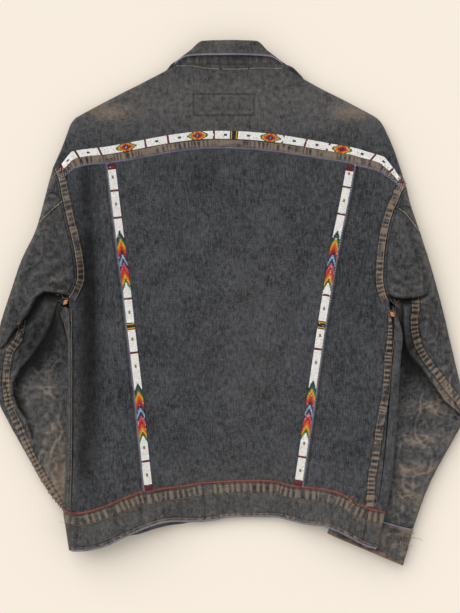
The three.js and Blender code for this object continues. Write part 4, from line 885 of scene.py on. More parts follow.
def grid(nu, nv, e=0.0006, u0=0.0, u1=1.0):
    return np.meshgrid(np.linspace(u0 + e, u1 - e, nu), np.linspace(e, 1 - e, nv), indexing='ij')


def flat_panel(name, f, nu, nv, nodes, material=BLACK_DENIM, slot='denim'):
    U, V = grid(nu, nv)
    x, y = f(U, V)
    B = np.stack([x, y, body_z(x, y, 1)], -1)
    h, at = body_attributes(x, y)
    trough_shade, rd = curvature_shade_and_wear(B)
    # painted shade in deep troughs
    at['dark'] = np.clip(at['dark'] + trough_shade, 0, 1)
    at['wear'] = np.clip(at['wear'] + 0.35 * rd, 0, 1.2)
    return cloth(name, B, 1, DENIM, h, at, material, nodes, slot)


flat_panel('back_center_cloth', centreXY, 177, 289, ['back_center'])


def sideOuter(seam, arm, low, wLow, wHigh):
    top = arm(wLow)

    def f(v):
        v = np.asarray(v, float)
        a = arm(mix(wLow, wHigh, np.clip((v - 0.645) / (1 - 0.645), 0, 1)))
        y = mix(low, top[1], v / 0.645)
        b = seam(y) + (top[0] - seam(top[1])) * smooth(-40, float(top[1]), y)
        return np.where(v > 0.645, a[0], b), np.where(v > 0.645, a[1], y)
    return f


outerL = sideOuter(seamLeft, armLeft, float(waistSeam(seamLeft(-302))), 0.95, 0.11)
outerR = sideOuter(seamRight, armRight, float(waistSeam(seamRight(-299))), 0.94, 0.042)
sideLXY = coons(outerL, seamL, span(waistSeam, outerL(0)[0], seamL(0)[0]), span(yokeSeam, outerL(1)[0], seamL(1)[0]))
sideRXY = coons(seamR, outerR, span(waistSeam, seamR(0)[0], outerR(0)[0]), span(yokeSeam, seamR(1)[0], outerR(1)[0]))
flat_panel('back_side_left_cloth', sideLXY, 65, 289, ['back_side_left'])
flat_panel('back_side_right_cloth', sideRXY, 65, 289, ['back_side_right'])

# yoke, with its turn round the shoulder folds
yokeTop = along(np.concatenate([shoulderLeft, path(xy(NECK_BACK, 'k'), 0, 5, 20), shoulderRight]))
yokeXY = coons(lambda v: armLeft(mix(0.11, 0, v)), lambda v: armRight(mix(0.042, 0, v)),
               span(yokeSeam, -246.5, 253.8), yokeTop)
NECK_FROM, NECK_TO = 0.345, 0.648


def yoke_grid(nu, nk, nw):
    u = np.linspace(0.0008, 0.9992, nu)
    k = np.concatenate([1 - (1 - np.linspace(0.002, 1, nk)) ** 1.35, np.ones(nw)])
    wrap = np.concatenate([np.zeros(nk), np.linspace(0, 1, nw + 1)[1:]])
    U, K = np.meshgrid(u, k, indexing='ij')
    _, W = np.meshgrid(u, wrap, indexing='ij')
    b, t = yokeXY(U, 0 * U), yokeXY(U, 0 * U + 1)
    ln = np.hypot(t[0] - b[0], t[1] - b[1])
    turned = YOKE_WRAP * (1 - smooth(NECK_FROM - 0.03, NECK_FROM, U) + smooth(NECK_TO, NECK_TO + 0.03, U))
    side = np.where((W > 0) & (turned > 0.5), -1, 1)
    neck = smooth(NECK_FROM, NECK_FROM + 0.02, U) * (1 - smooth(NECK_TO - 0.02, NECK_TO, U))
    kk = K + W * (4.5 * neck - turned) / ln
    x, y = yokeXY(U, kk)
    return np.stack([x, y, body_z(x, y, side)], -1)


Y = yoke_grid(321, 81, 4)
h, at = body_attributes(Y[..., 0], Y[..., 1])
trough_shade, rd = curvature_shade_and_wear(Y)
# a plain rectangle of old stitch holes in the middle of the yoke
px, py = np.abs(Y[..., 0] + 7), np.abs(Y[..., 1] - 288.5)
patch = np.maximum(px - 44, py - 15.5)
line_ = np.exp(-((patch) / 1.3) ** 2)
# the stitch-hole outline and the patch area are real marks; the trough term is painted shade
at['dark'] = np.clip(at['dark'] + 0.62 * line_ + 0.16 * (patch < 0) + trough_shade, 0, 1)
at['fade'] = np.clip(at['fade'] + 0.25 * np.exp(-((patch + 3) / 2.0) ** 2), 0, 1)
h = h - 0.35 * line_
cloth('back_yoke_cloth', Y, 1, DENIM, h, at, BLACK_DENIM, ['back_yoke'], 'denim')


# ------------------------------------------------------------------ waistband
def waistband(q, t):
    k = np.mod(q, 2)
    back = k <= 1
    w = np.where(back, k, 2 - k)
    xs, xh = mix(bodyLeft(-298), bodyRight(-301), w), mix(bodyLeft(-356), bodyRight(-354.5), w)
    low = np.where(back, 0, 1)
    peek = lambda x: 5.5 * smooth(-150, -125, x) * (1 - smooth(-75, -45, x))
    ys, yh = waistSeam(xs) - low * peek(xs), hemLine(xh) - low * peek(xh)
    x, y = mix(xs, xh, t), mix(ys, yh, t)
    d = np.minimum(w, 1 - w) * 466
    top, under = upperside(x, y), underside(x, y)
    return np.stack([x, y, (top + under) / 2 + np.where(back, 1, -1) * (top - under) / 2 * roll(d, ROLL)], -1)


RIGHT_JOINT, LEFT_JOINT = 0.946, -0.022
mid = lambda x: float((bodyRight(-301) - x) / (bodyRight(-301) - bodyLeft(-298)))


def waist_piece(name, q0, q1, n, node, dense=True):
    if dense:
        lin = np.linspace(q0, q1, n)
    else:
        lin = np.linspace(q0, q1, n)
    Q, T = np.meshgrid(lin, np.linspace(0.006, 1, 33), indexing='ij')
    B = waistband(Q, T)
    up = (np.mod(Q, 2) <= 1).astype(float)
    h, at = body_attributes(B[..., 0], B[..., 1])
    trough_shade, rd = curvature_shade_and_wear(B)
    at['wear'] = np.clip(at['wear'] * up + 0.26 + 0.3 * fbm(B[..., 0], B[..., 1], 26, 77) + 0.25 * rd, 0, 1.2)
    at['fade'] = np.clip(at['fade'] + 0.18, 0, 1)
    # painted shade in the troughs
    at['dark'] = np.clip(at['dark'] * up + trough_shade, 0, 1)
    return cloth(name, B, -1, DOUBLE, h * up, at, WORN_DENIM, [node], 'denim_worn')


waist_piece('waistband_back_cloth', LEFT_JOINT, RIGHT_JOINT - 0.001, 273, 'waistband_back')
waist_piece('waistband_front_right_cloth', RIGHT_JOINT + 0.001, 1 + mid(FRONT_GAP), 129, 'waistband_front_right')
waist_piece('waistband_front_left_cloth', 1 + mid(-FRONT_GAP), 2 + LEFT_JOINT - 0.002, 97, 'waistband_front_left')

# ------------------------------------------------------------------ fronts and plackets
peekF = lambda x: 5.5 * smooth(-150, -125, x) * (1 - smooth(-75, -45, x))
waistFront = lambda x: waistSeam(x) - peekF(x)
SPLIT = 0.58


def front_grid(sign):
    left = sign < 0
    edge, seam, arm = (bodyLeft, seamLeft, armLeft) if left else (bodyRight, seamRight, armRight)
    pit = ARMPIT_LEFT if left else ARMPIT_RIGHT
    top = shoulderLeft if left else shoulderRight[::-1]
    low, inner = float(waistFront(edge(-300))), sign * (FRONT_GAP + PLACKET_WIDTH)

    def L(v):
        v = np.asarray(v, float)
        a = arm(mix(1, 0.035, np.clip((v - SPLIT) / (1 - SPLIT), 0, 1)))
        y = mix(low, pit, v / SPLIT)
        return np.where(v > SPLIT, a[0], edge(y)), np.where(v > SPLIT, a[1], y)
    pts = []
    for i, p in enumerate(top):
        q, r = top[min(i + 1, len(top) - 1)], top[max(i - 1, 0)]
        l = math.hypot(q[0] - r[0], q[1] - r[1])
        g = (p[0] - sign * (YOKE_WRAP + 1) * abs(q[1] - r[1]) / l, p[1] - (YOKE_WRAP + 1) * abs(q[0] - r[0]) / l)
        if abs(g[0]) > 86 and g[1] > L(1)[1] + 3:
            pts.append(g)
    neck = [(sign * x, float(neckFront(x))) for x in np.linspace(79, 43.5, 11)]
    T = along([tuple(float(c) for c in L(1))] + pts + neck)
    R = lambda v: (inner + 0 * np.asarray(v, float), mix(float(waistFront(inner)), float(neckFront(43.5)), np.asarray(v, float)))
    f = coons(L, R, span(waistFront, float(L(0)[0]), inner), T)
    u = np.concatenate([np.linspace(-1 + 0.02, 0, 7), np.linspace(0, 1, 11)[1:], np.linspace(1, 1.999, 48)[1:]])
    v = np.linspace(0.0008, 0.9992, 129)
    U, V = np.meshgrid(u, v, indexing='ij')
    l, r = L(V), R(V)
    w = np.hypot(r[0] - l[0], r[1] - l[1])
    start = np.where(V > SPLIT, 0, np.abs(seam(l[1]) - l[0]) * (1 - smooth(SPLIT - 0.02, SPLIT, V)))
    near = 10
    d = np.where(U < 0, np.where(start > 0.5, start * U, near * (U + 1) / 2),
                 np.where(U < 1, np.where(start > 0.5, near * U, near * (U + 1) / 2), near + (w - near) * (U - 1)))
    x, y = f(np.abs(d) / w, V)
    z = body_z(x, y, np.where(d < 0, 1, -1))
    under = folds(x, y, FRONT_FOLDS)
    inner_part = smooth(6, 30, np.abs(d)) * (d > 0)
    return np.stack([x, y, z + np.maximum(under, -z + 0.0) * inner_part], -1)


FRONT_FOLDS = table('x0 y0 x1 y1 x2 y2 width rise', [
    [-200, 120, -180, 40, -170, -40, 10, 2.2], [-150, 180, -130, 90, -128, 0, 12, 1.8],
    [-90, 160, -84, 60, -92, -60, 11, 1.6], [-120, -60, -110, -150, -100, -240, 10, 1.8],
    [-70, -40, -64, -130, -70, -220, 9, 1.4], [-190, -20, -160, -80, -150, -150, 9, 1.6],
    [200, 110, 176, 30, 168, -50, 10, 2.2], [150, 170, 126, 80, 132, -10, 12, 1.8],
    [92, 150, 80, 50, 90, -70, 11, 1.6], [122, -60, 112, -140, 104, -230, 10, 1.8],
    [72, -30, 66, -120, 74, -210, 9, 1.4], [190, -20, 162, -70, 152, -140, 9, 1.6]])

for side_, sign in (('left', -1), ('right', 1)):
    F = front_grid(sign)
    # the number of columns is one more than a multiple of four
    nu = (F.shape[0] - 1) // 4 * 4 + 1
    F = np.concatenate([F[:nu - 1], F[-1:]])
    x, y = F[..., 0], F[..., 1]
    w2 = np.clip(0.12 + 0.25 * fbm(x, y, 60, 71), 0, 1)
    cloth(f'front_{side_}_cloth', F, sign, DENIM, 0.15 * fbm(x, y, 14, 5),
          dict(wear=w2, fade=0.15 + 0 * x, dark=0 * x), BLACK_DENIM, [f'front_{side_}'], 'denim')
    U, V = np.meshgrid(np.linspace(0, 0.997, 13), np.linspace(0.0008, 0.9992, 129), indexing='ij')
    px_ = mix(FRONT_GAP, FRONT_GAP + PLACKET_WIDTH, U)
    yy = mix(waistFront(sign * px_), neckFront(px_), V)
    B = np.stack([sign * px_, yy, body_z(sign * px_, yy, -1)], -1)
    cloth(f'placket_{side_}_cloth', B, -sign, DOUBLE, 0.1 * fbm(px_, yy, 9, 6), dict(wear=0.3 + 0 * U, fade=0.15 + 0 * U),
          BLACK_DENIM, [f'placket_{side_}'], 'denim')


# ------------------------------------------------------------------ sleeves and cuffs
def sleeve(T, arm, macro):
    c = {n: curve(T, 's', n) for n in T if n != 's'}
    O0, I0 = (T['ox'][0], T['oy'][0]), (T['ix'][0], T['iy'][0])

    def point(s, q):
        s, q = np.broadcast_arrays(np.asarray(s, float), np.asarray(q, float))
        k = np.mod(q, 2)
        up = np.where(k <= 1, 1, -1)
        w = np.where(k <= 1, k, 2 - k)
        ox, oy, ix, iy = c['ox'](s), c['oy'](s), c['ix'](s), c['iy'](s)
        if arm:
            bend = 1 - smooth(0, 3.2, s)
            ax, ay = arm(w)
            e = w - 0.085 * smooth(0, 1, s) * (1 - smooth(3, 6, s)) * 17.6 * w ** 6 * (1 - w)
            x = mix(ox, ix, e) + (ax - mix(O0[0], I0[0], w)) * bend
            y = mix(oy, iy, e) + (ay - mix(O0[1], I0[1], w)) * bend
            b, d = arm(np.minimum(1, w + 0.01)), arm(np.maximum(0, w - 0.01))
            l = np.hypot(b[0] - d[0], b[1] - d[1])
            sg = np.sign(O0[0])
            x = x - sg * ARM_GAP * bend * (b[1] - d[1]) / l
            y = y + sg * ARM_GAP * bend * (b[0] - d[0]) / l
        else:
            x, y = mix(ox, ix, w), mix(oy, iy, w)
        width = np.hypot(ix - ox, iy - oy)
        base, top = c['base'](s), c['top'](s)
        m = np.minimum(w, 1 - w) * width
        z = (base + top) / 2 + up * (top - base) / 2 * roll(m, SLEEVE_ROLL)
        if macro is not None:
            z = z + (up > 0) * np.maximum(macro(x, y), 5.0 - z) * smooth(0, 7, m)
        if arm:
            z = mix(body_z(ax, ay, up), z, smooth(0, 1.1, s))
        return np.stack([x, y, z], -1)
    return point, c


def panel(point, qa, qb, rows, n):
    """Rows of equal steps of girth between two ring coordinates."""
    fine = np.linspace(0, 1, 241)
    S = rows[:, None] + 0 * fine
    Q = mix(qa(rows)[:, None], qb(rows)[:, None], fine[None, :])
    R = point(S, Q)
    at_ = np.concatenate([np.zeros((len(rows), 1)), np.cumsum(np.linalg.norm(np.diff(R, axis=1), axis=2), axis=1)], 1)
    out = np.empty((len(rows), n))
    for i in range(len(rows)):
        out[i] = np.interp(np.linspace(0.002, 0.998, n) * at_[i, -1], at_[i], Q[i])
    return point(rows[:, None] + 0 * out, out), out


def crumple(x, y, seed):
    """Sharp-crested small creases, as cloth has where it is squeezed."""
    a = 1 - np.abs(fbm(x, y * 0.7, 26, seed, 2)) * 3.2
    b = 1 - np.abs(fbm(x * 0.8, y, 13, seed + 5, 2)) * 3.0
    return 1.5 * np.clip(a, 0, 1) ** 2 + 0.7 * np.clip(b, 0, 1) ** 2


def left_macro(x, y):
    a, _ = layer(x, y, LIP_L, 1)
    b, _ = layer(x, y, FLAP_L, 1)
    return a + b + folds(x, y, LEFT_FOLDS) + 2.0 * fbm(x, y, 30, 14) + 1.0 * fbm(x, y, 12, 15) + crumple(x, y, 24)


def right_macro(x, y):
    a, _ = layer(x, y, LIP_R, -1)
    b, _ = layer(x, y, FLAP_R, -1)
    return a + b + folds(x, y, RIGHT_FOLDS) + 2.0 * fbm(x, y, 30, 17) + 1.0 * fbm(x, y, 12, 18) + crumple(x, y, 27)


SLEEVES = {
    'left': (SLEEVE_LEFT, armLeft, left_macro, 13.07, -1, STRIPS_L, [(LIP_L, 1), (FLAP_L, 1)], CUFF_LEFT),
    'right': (SLEEVE_RIGHT, armRight, right_macro, 15.09, 1, STRIPS_R, [(LIP_R, -1), (FLAP_R, -1)], CUFF_RIGHT),
}
sleeve_objects = {}
for side_, (T, arm, macro, last, way, seams, layers_, cuff) in SLEEVES.items():
    point, c = sleeve(T, arm, macro)
    rows = np.linspace(0, last, 265)
    for part, qa, qb, n, slot_ in (('back', c['q1'], c['q2'], 89, 'denim'), ('front', c['q2'], lambda s: c['q1'](s) + 2, 97, 'denim_worn')):
        G, Q = panel(point, qa, qb, rows, n)
        G = np.swapaxes(G, 0, 1)
        Q = Q.T
        x, y = G[..., 0], G[..., 1]
        up = (np.mod(Q, 2) <= 1).astype(float)
        h, wear, dark = strips(x, y, seams)
        w2, f2, d2 = worn_and_shaded(x, y)
        # painted shade in the hollows under the lips and flaps
        for t_, low in layers_:
            _, lip_shade = layer(x, y, t_, low)
            dark = np.maximum(dark, 0.92 * lip_shade)
        trough_shade, rd = curvature_shade_and_wear(G)
        h = h * up + 0.25 * fbm(x, y, 7, 33) * up
        # painted shade in the troughs; the ridge crests get brown wear, and their paler tone is a painted highlight
        at = dict(wear=np.clip((wear + w2 + 0.6 * rd) * up + 0.2 * (1 - up), 0, 1.2), fade=np.clip(f2 + 0.12 + 0.9 * rd, 0, 1),
                  dark=np.clip((dark + d2 + trough_shade) * up, 0, 1))
        o = cloth(f'sleeve_{side_}_{part}_cloth', G, way, DENIM, h, at, BLACK_DENIM, [f'sleeve_{side_}_{part}'], slot_)
        sleeve_objects[(side_, part)] = o
    cpoint, cc = sleeve(cuff, None, None)
    crow = np.linspace(0.012, 1, 29)
    G, Q = panel(cpoint, lambda s: -0.497 + 0 * s, lambda s: 1.497 + 0 * s, crow, 145)
    G = np.swapaxes(G, 0, 1)
    x, y = G[..., 0], G[..., 1]
    v = np.broadcast_to(crow[None, :], x.shape)
    strip_ = (1 - smooth(0.10, 0.16, v)) + smooth(0.86, 0.9, v)
    h = 0.5 * strip_ + 0.8 * fbm(x, y, 9, 44) + 0.3 * np.sin(np.arange(x.shape[0])[:, None] * 0.55 + 2 * noise(x, y, 14, 3))
    # a thin painted shade line beside the raised strip at the cuff's upper edge
    at = dict(wear=np.clip(0.4 + 0.9 * fbm(x, y, 11, 46) + 0.25 * strip_, 0, 1.1), fade=0.2 + 0 * x, dark=0.25 * np.exp(-((v - 0.17) / 0.03) ** 2))
    o = cloth(f'cuff_{side_}_cloth', G, way, DOUBLE, np.clip(h, -0.4, 1.2), at, WORN_DENIM, [f'cuff_{side_}'], 'denim_worn')
    sleeve_objects[(side_, 'cuff')] = o

# ------------------------------------------------------------------ collar
col = {n: curve(COLLAR, 't', n) for n in COLLAR if n != 't'}


def collar(u, t):
    n = [col['nx'](t), col['ny'](t), col['nz'](t)]
    f = [col['fx'](t), col['fy'](t), col['fz'](t)]
    e = [col['ex'](t), col['ey'](t), col['ez'](t)]
    first = u < 1
    k = np.where(first, u, 2 - u)
    a = [np.where(first, n[i], e[i]) for i in range(3)]
    p = [mix(a[i], f[i], k) for i in range(3)]
    up = np.clip((4.0 - np.abs(t - 8)) / 1.2, -1, 1)
    s = np.where(first, -1, 1)
    p[2] = p[2] + roll((1 - k) * 14, 5) * 1.3 * s * up + s * up * 0.8
    return np.stack(p, -1)


uu = np.concatenate([np.linspace(0, 0.9, 23), np.linspace(0.92, 1.08, 11), np.linspace(1.1, 2, 27)])
tt = np.concatenate([np.linspace(0, 3, 31), np.linspace(3, 5, 41)[1:], np.linspace(5, 11, 177)[1:], np.linspace(11, 13, 41)[1:], np.linspace(13, 16, 33)[1:]])
uu, tt = uu[:(len(uu) - 1) // 4 * 4 + 1], tt
uu[-1] = 2
tt = tt[:(len(tt) - 1) // 4 * 4 + 1]
tt[-1] = 16
U, Tt = np.meshgrid(uu, tt, indexing='ij')
B = collar(U, Tt)
x, y = B[..., 0], B[..., 1]
visible = (np.abs(Tt - 8) < 3.4).astype(float)
stand = (U < 0.75) * visible
ridge = np.sin(x * 0.62 + 2.2 * noise(x, y * 0, 16, 12))
leaf_edge = np.exp(-((2 - U) / 0.16) ** 2)
h = visible * (0.55 * ridge * stand + 0.25 * fbm(x, y, 11, 19) + 0.35 * leaf_edge)
# painted shade in the troughs between the stand's puckers
at = dict(wear=np.clip(0.3 + stand * 0.3 * ridge + 0.3 * leaf_edge + 0.3 * np.exp(-((U - 1) / 0.12) ** 2), 0, 1.1),
          fade=np.clip(0.15 + 0.15 * fbm(x, y, 20, 23), 0, 1), dark=np.clip(0.25 * stand * (1 - ridge) * 0.6, 0, 1))
collar_object = cloth('collar_cloth', B, 1, DENIM, h, at, WORN_DENIM, ['collar'], 'denim_worn')


# ------------------------------------------------------------------ things laid on the cloth
def top_z(x, y):
    """Height of the body's upper face, felled strips included."""
    return body_z(x, y, 1) + strips(x, y, STRIPS)[0]


def drop_on(objects, x, y, start=60):
    """Heights of the first cloth below (x, y)."""
    trees = [BVHTree.FromObject(o, bpy.context.evaluated_depsgraph_get()) for o in objects]
    z = np.full(np.shape(x), np.nan)
    flat_ = z.reshape(-1)
    for i, (a, b) in enumerate(zip(np.ravel(x), np.ravel(y))):
        best = None
        for t_ in trees:
            hit = t_.ray_cast(Vector((a / 1000, b / 1000, start / 1000)), Vector((0, 0, -1)))
            if hit[0] is not None and (best is None or hit[0].z > best):
                best = hit[0].z
        if best is not None:
            flat_[i] = best * 1000
    ok = ~np.isnan(flat_)
    if ok.any() and not ok.all():
        ids = np.arange(len(flat_))
        flat_[~ok] = np.interp(ids[~ok], ids[ok], flat_[ok])
    return z


class Bag:
    """Collects many small meshes into one."""
    def __init__(self):
        self.v, self.f, self.c, self.n = [], [], [], 0

    def add(self, verts, faces, colour=None):
        self.v.append(np.asarray(verts, float))
        self.f += [tuple(i + self.n for i in f) for f in faces]
        if colour is not None:
            self.c.append(np.tile(np.array([*colour, 1.0]), (len(verts), 1)))
        self.n += len(verts)

    def tube(self, line, radius, sides=5, taper=False):
        line = np.asarray(line, float)
        d = np.gradient(line, axis=0)
        d /= np.maximum(np.linalg.norm(d, axis=1, keepdims=True), 1e-9)
        side = np.cross(d, [0, 0, 1.0])
        side /= np.maximum(np.linalg.norm(side, axis=1, keepdims=True), 1e-6)
        up = np.cross(side, d)
        r = np.full(len(line), float(radius))
        if taper:
            r = r * np.sqrt(np.clip(1.02 - np.linspace(-1, 1, len(line)) ** 2 * 0.75, 0.05, 1))
        a = np.linspace(0, 2 * np.pi, sides, endpoint=False)
        ring = (side[:, None] * np.cos(a)[None, :, None] + up[:, None] * np.sin(a)[None, :, None]) * r[:, None, None] + line[:, None]
        n = len(line)
        faces = [(i * sides + j, i * sides + (j + 1) % sides, (i + 1) * sides + (j + 1) % sides, (i + 1) * sides + j)
                 for i in range(n - 1) for j in range(sides)]
        faces += [tuple(range(sides))[::-1], tuple((n - 1) * sides + j for j in range(sides))]
        self.add(ring.reshape(-1, 3), faces)

    def make(self, name, material, nodes=()):
        o = new_object(name, np.concatenate(self.v), self.f, material,
                       tint=np.concatenate(self.c) if self.c else None)
        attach(o, 'root')
        if nodes:
            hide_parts(*nodes)
        TRIANGLES[name] = sum(len(f) - 2 for f in self.f)
        return o


def offset(line, d):
    line = np.asarray(line, float)
    t_ = np.gradient(line, axis=0)
    t_ /= np.maximum(np.linalg.norm(t_, axis=1, keepdims=True), 1e-9)
    return line + d * np.stack([-t_[:, 1], t_[:, 0]], 1)


def zigzag(bag, line, height, half=1.4, step=1.85, radius=0.44, lift=0.5):
    """A line of couched zigzag thread along a seam."""
    p = resample(line, step)
    o = offset(p, 1.0) - p
    q = p + o * (half * (np.arange(len(p)) % 2 * 2 - 1))[:, None]
    z = height(q[:, 0], q[:, 1]) + lift
    bag.tube(np.column_stack([q, z]), radius, 4)


def stitches(bag, line, height, pitch=STITCH, radius=0.34, share=0.78, keep=0.94):
    """A row of single stitches, a few of them worn away."""
    total = length(line)
    n = max(1, int(total / pitch))
    f = along(line)
    a = np.arange(n) / n
    b = a + share * pitch / total
    keepers = rng.random(n) < keep
    k = np.stack([a, a + (b - a) * 0.5, b], 1)[keepers]
    x, y = f(k)
    z = height(x, y) + np.array([0.0, 0.42, 0.0])[None, :]
    for i in range(len(k)):
        bag.tube(np.stack([x[i], y[i], z[i]], 1), radius, 4)


yoke_line = path(lambda x: (x, yokeSeam(x)), -245.5, 252.5, 200)
edge_bag = Bag()
zigzag(edge_bag, offset(yoke_line, -0.2), top_z)
zigzag(edge_bag, offset(path(lambda y: (lineLeft(y), y), LOW_L + 2, HIGH_L - 1, 120), 0.6), top_z)
zigzag(edge_bag, offset(path(lambda y: (lineRight(y), y), LOW_R + 2, HIGH_R - 1, 120), -0.6), top_z)
hem_line = path(lambda x: (x, hemLine(x)), -228, 213, 200)
zigzag(edge_bag, offset(hem_line, 1.3), lambda x, y: top_z(x, y) * 0 + upperside(x, y) - 0.6 * smooth(-1, 1, 0) + 0.2)
# collar edge
te = np.linspace(4.75, 11.25, 200)
ce = collar(2 + 0 * te, te)
p = resample(ce[:, :2], 1.35)
zc = drop_on([collar_object], p[:, 0], p[:, 1] + 1.2)
q = p + (offset(p, 1.0) - p) * (1.15 * (np.arange(len(p)) % 2 * 2 - 1))[:, None]
edge_bag.tube(np.column_stack([q[:, 0], q[:, 1] + 0.9, zc + 0.4]), 0.42, 4)
# cuff top edge, where it shows on the right
cuffR = sleeve_objects[('right', 'cuff')]
cl = np.stack(along([(CUFF_RIGHT['ix'][0], CUFF_RIGHT['iy'][0]), (CUFF_RIGHT['ox'][0], CUFF_RIGHT['oy'][0])])(np.linspace(0.02, 0.97, 60)), 1)
cl[:, 1] -= 1.6
p = resample(cl, 1.35)
zc = drop_on([cuffR], p[:, 0], p[:, 1] - 1)
q = p + (offset(p, 1.0) - p) * (1.1 * (np.arange(len(p)) % 2 * 2 - 1))[:, None]
edge_bag.tube(np.column_stack([q, zc + 0.5]), 0.42, 4)
edge_bag.make('edging_lavender', LAVENDER)

# coral cord on the waist seam, worn through near its right end
red_bag = Bag()
zigzag(red_bag, path(lambda x: (x, waistSeam(x) + 0.6), -239.5, 172.5, 180), top_z, 1.15, 1.0, 0.8, 0.7)
zigzag(red_bag, path(lambda x: (x, waistSeam(x) + 0.6), 191, 225.5, 30), top_z, 1.15, 1.0, 0.8, 0.7)
red_bag.make('cord_coral', RED_CORD)

# topstitching
tan_bag = Bag()
stitches(tan_bag, offset(yoke_line, 2.6), top_z)
stitches(tan_bag, offset(yoke_line, 9.8), top_z)
armL, armR = path(armLeft, 0.03, 0.95, 80), path(armRight, 0.0, 0.93, 80)[::-1]
pale_bag = Bag()
for line_, bag_, d in ((armL, pale_bag, 1.4), (armR, pale_bag, 1.4), (armL, tan_bag, 9.8), (armR, tan_bag, 9.8)):
    stitches(bag_, offset(line_, d), top_z, radius=0.42)
for d in (-4.3, 4.3):
    stitches(tan_bag, offset(np.array(SIDE_STRIP_R), d), top_z)
stitches(tan_bag, offset(np.array(SIDE_STRIP_L), 1.9), top_z)
stitches(tan_bag, offset(np.array(SIDE_STRIP_L), -1.9), top_z, keep=0.8)
waist_line = path(lambda x: (x, waistSeam(x)), -236, 224, 160)
for d in (-5.6, -16.8):
    stitches(tan_bag, offset(waist_line, d), top_z, keep=0.85)
stitches(tan_bag, offset(hem_line, 5.6), top_z, keep=0.85)
neck_line = path(xy(NECK_BACK, 'k'), 0.1, 4.9, 60)
stitches(pale_bag, offset(neck_line, -1.6), top_z, pitch=2.8, radius=0.42)
for side_ in ('left', 'right'):
    obs = [sleeve_objects[(side_, 'back')], sleeve_objects[(side_, 'front')]]
    on = lambda x, y, obs=obs: drop_on(obs, x, y)
    fell = np.array(FELL_L if side_ == 'left' else FELL_R)
    for d in (-4.2, 4.2):
        stitches(tan_bag, offset(fell[:-1] if side_ == 'left' else fell, d), on, keep=0.9)
    lap = np.array(LAP_L if side_ == 'left' else LAP_R)
    stitches(pale_bag, offset(lap, 1.0 if side_ == 'left' else -1.0), on, pitch=2.8, radius=0.42)
tan_bag.make('topstitching_tan', TAN)
pale_bag.make('topstitching_pale', TAN_PALE)

# cuff hem in orange-brown, bar tacks, frayed ends
or_bag = Bag()
ch = np.stack(along([(CUFF_RIGHT['ix'][1], CUFF_RIGHT['iy'][1]), (CUFF_RIGHT['ox'][1], CUFF_RIGHT['oy'][1])])(np.linspace(0.03, 0.97, 60)), 1)
ch[:, 1] += 1.8
p = resample(ch, 1.3)
zc = drop_on([cuffR], p[:, 0], p[:, 1] + 1)
q = p + (offset(p, 1.0) - p) * (0.9 * (np.arange(len(p)) % 2 * 2 - 1))[:, None]
or_bag.tube(np.column_stack([q, zc + 0.45]), 0.45, 4)
for cx, cy, ang in ((-236.5, 2.0, 0.25), (237.6, -15.5, -0.2)):
    for i in range(9):
        o_ = (i - 4) * 0.75
        a = np.array([[cx + o_ * math.sin(ang) - 3.0 * math.cos(ang), cy + o_ * math.cos(ang) - 3 * math.sin(ang)],
                      [cx + o_ * math.sin(ang), cy + o_ * math.cos(ang)],
                      [cx + o_ * math.sin(ang) + 3.0 * math.cos(ang), cy + o_ * math.cos(ang) + 3 * math.sin(ang)]])
        z = top_z(a[:, 0], a[:, 1]) + np.array([0.1, 0.7, 0.1]) + 1.0
        or_bag.tube(np.column_stack([a, z]), 0.5, 5)
or_bag.make('stitching_orange', ORANGE)


def fray(bag, x, y, z, n, reach, seed):
    r = np.random.default_rng(seed)
    for _ in range(n):
        a = r.uniform(0, 2 * np.pi)
        t_ = np.linspace(0, 1, 9)
        bend = r.uniform(-2.4, 2.4)
        ang = a + bend * t_
        ln = reach * r.uniform(0.4, 1)
        px_ = x + r.uniform(-2, 2) + np.cumsum(np.cos(ang)) * ln / 9
        py_ = y + r.uniform(-2, 2) + np.cumsum(np.sin(ang)) * ln / 9
        pz_ = z + 0.5 + 1.2 * np.sin(np.pi * t_) * r.uniform(0.4, 1)
        bag.tube(np.stack([px_, py_, pz_], 1), 0.26, 4)


fray_bag = Bag()
for i, (fx, fy) in enumerate(((246, -334), (256, -338), (262, -334), (251, -343), (266, -341), (258, -347))):
    zf = float(drop_on([cuffR, sleeve_objects[('right', 'front')], sleeve_objects[('right', 'back')]], np.array([fx]), np.array([fy]))[0])
    fray(fray_bag, fx, fy, zf if zf == zf else 19.5, 5, 15, 200 + i)
for i, fx in enumerate((-205, -188, -150, -96, -40, 20, 66, 112, 150)):
    fy = float(waistSeam(fx)) - 12
    fray(fray_bag, fx, fy, float(top_z(np.array([fx]), np.array([fy]))[0]), 2, 8, 230 + i)
for i, (fx, fy) in enumerate(((-238, 8), (-250, 14), (236, -10), (246, 2))):
    fray(fray_bag, fx, fy, float(top_z(np.array([fx]), np.array([fy]))[0]) + 1.5, 3, 9, 260 + i)
fray_bag.make('frayed_threads', TAN)
coral_fray = Bag()
for i, fx in enumerate((174, 178, 183)):
    fray(coral_fray, fx, float(waistSeam(fx)), float(top_z(np.array([fx]), np.array([float(waistSeam(fx))]))[0]), 4, 8, 280 + i)
coral_fray.make('frayed_coral', ORANGE)

# ------------------------------------------------------------------ beads
WHITE, IVORY = (1.0, 0.965, 0.92), (0.8, 0.74, 0.66)
BURGUNDY, RED, ORANGE_B, YELLOW = (0.13, 0.002, 0.012), (0.48, 0.004, 0.006), (0.70, 0.10, 0.004), (0.80, 0.42, 0.004)
GREEN, NAVY, PINK, SKY, NIGHT, OCHRE = (0.012, 0.13, 0.028), (0.008, 0.008, 0.06), (0.66, 0.10, 0.12), (0.26, 0.48, 0.66), (0.004, 0.004, 0.005), (0.34, 0.15, 0.02)
DIAMOND = [SKY, PINK, NAVY, RED, ORANGE_B, YELLOW, GREEN]


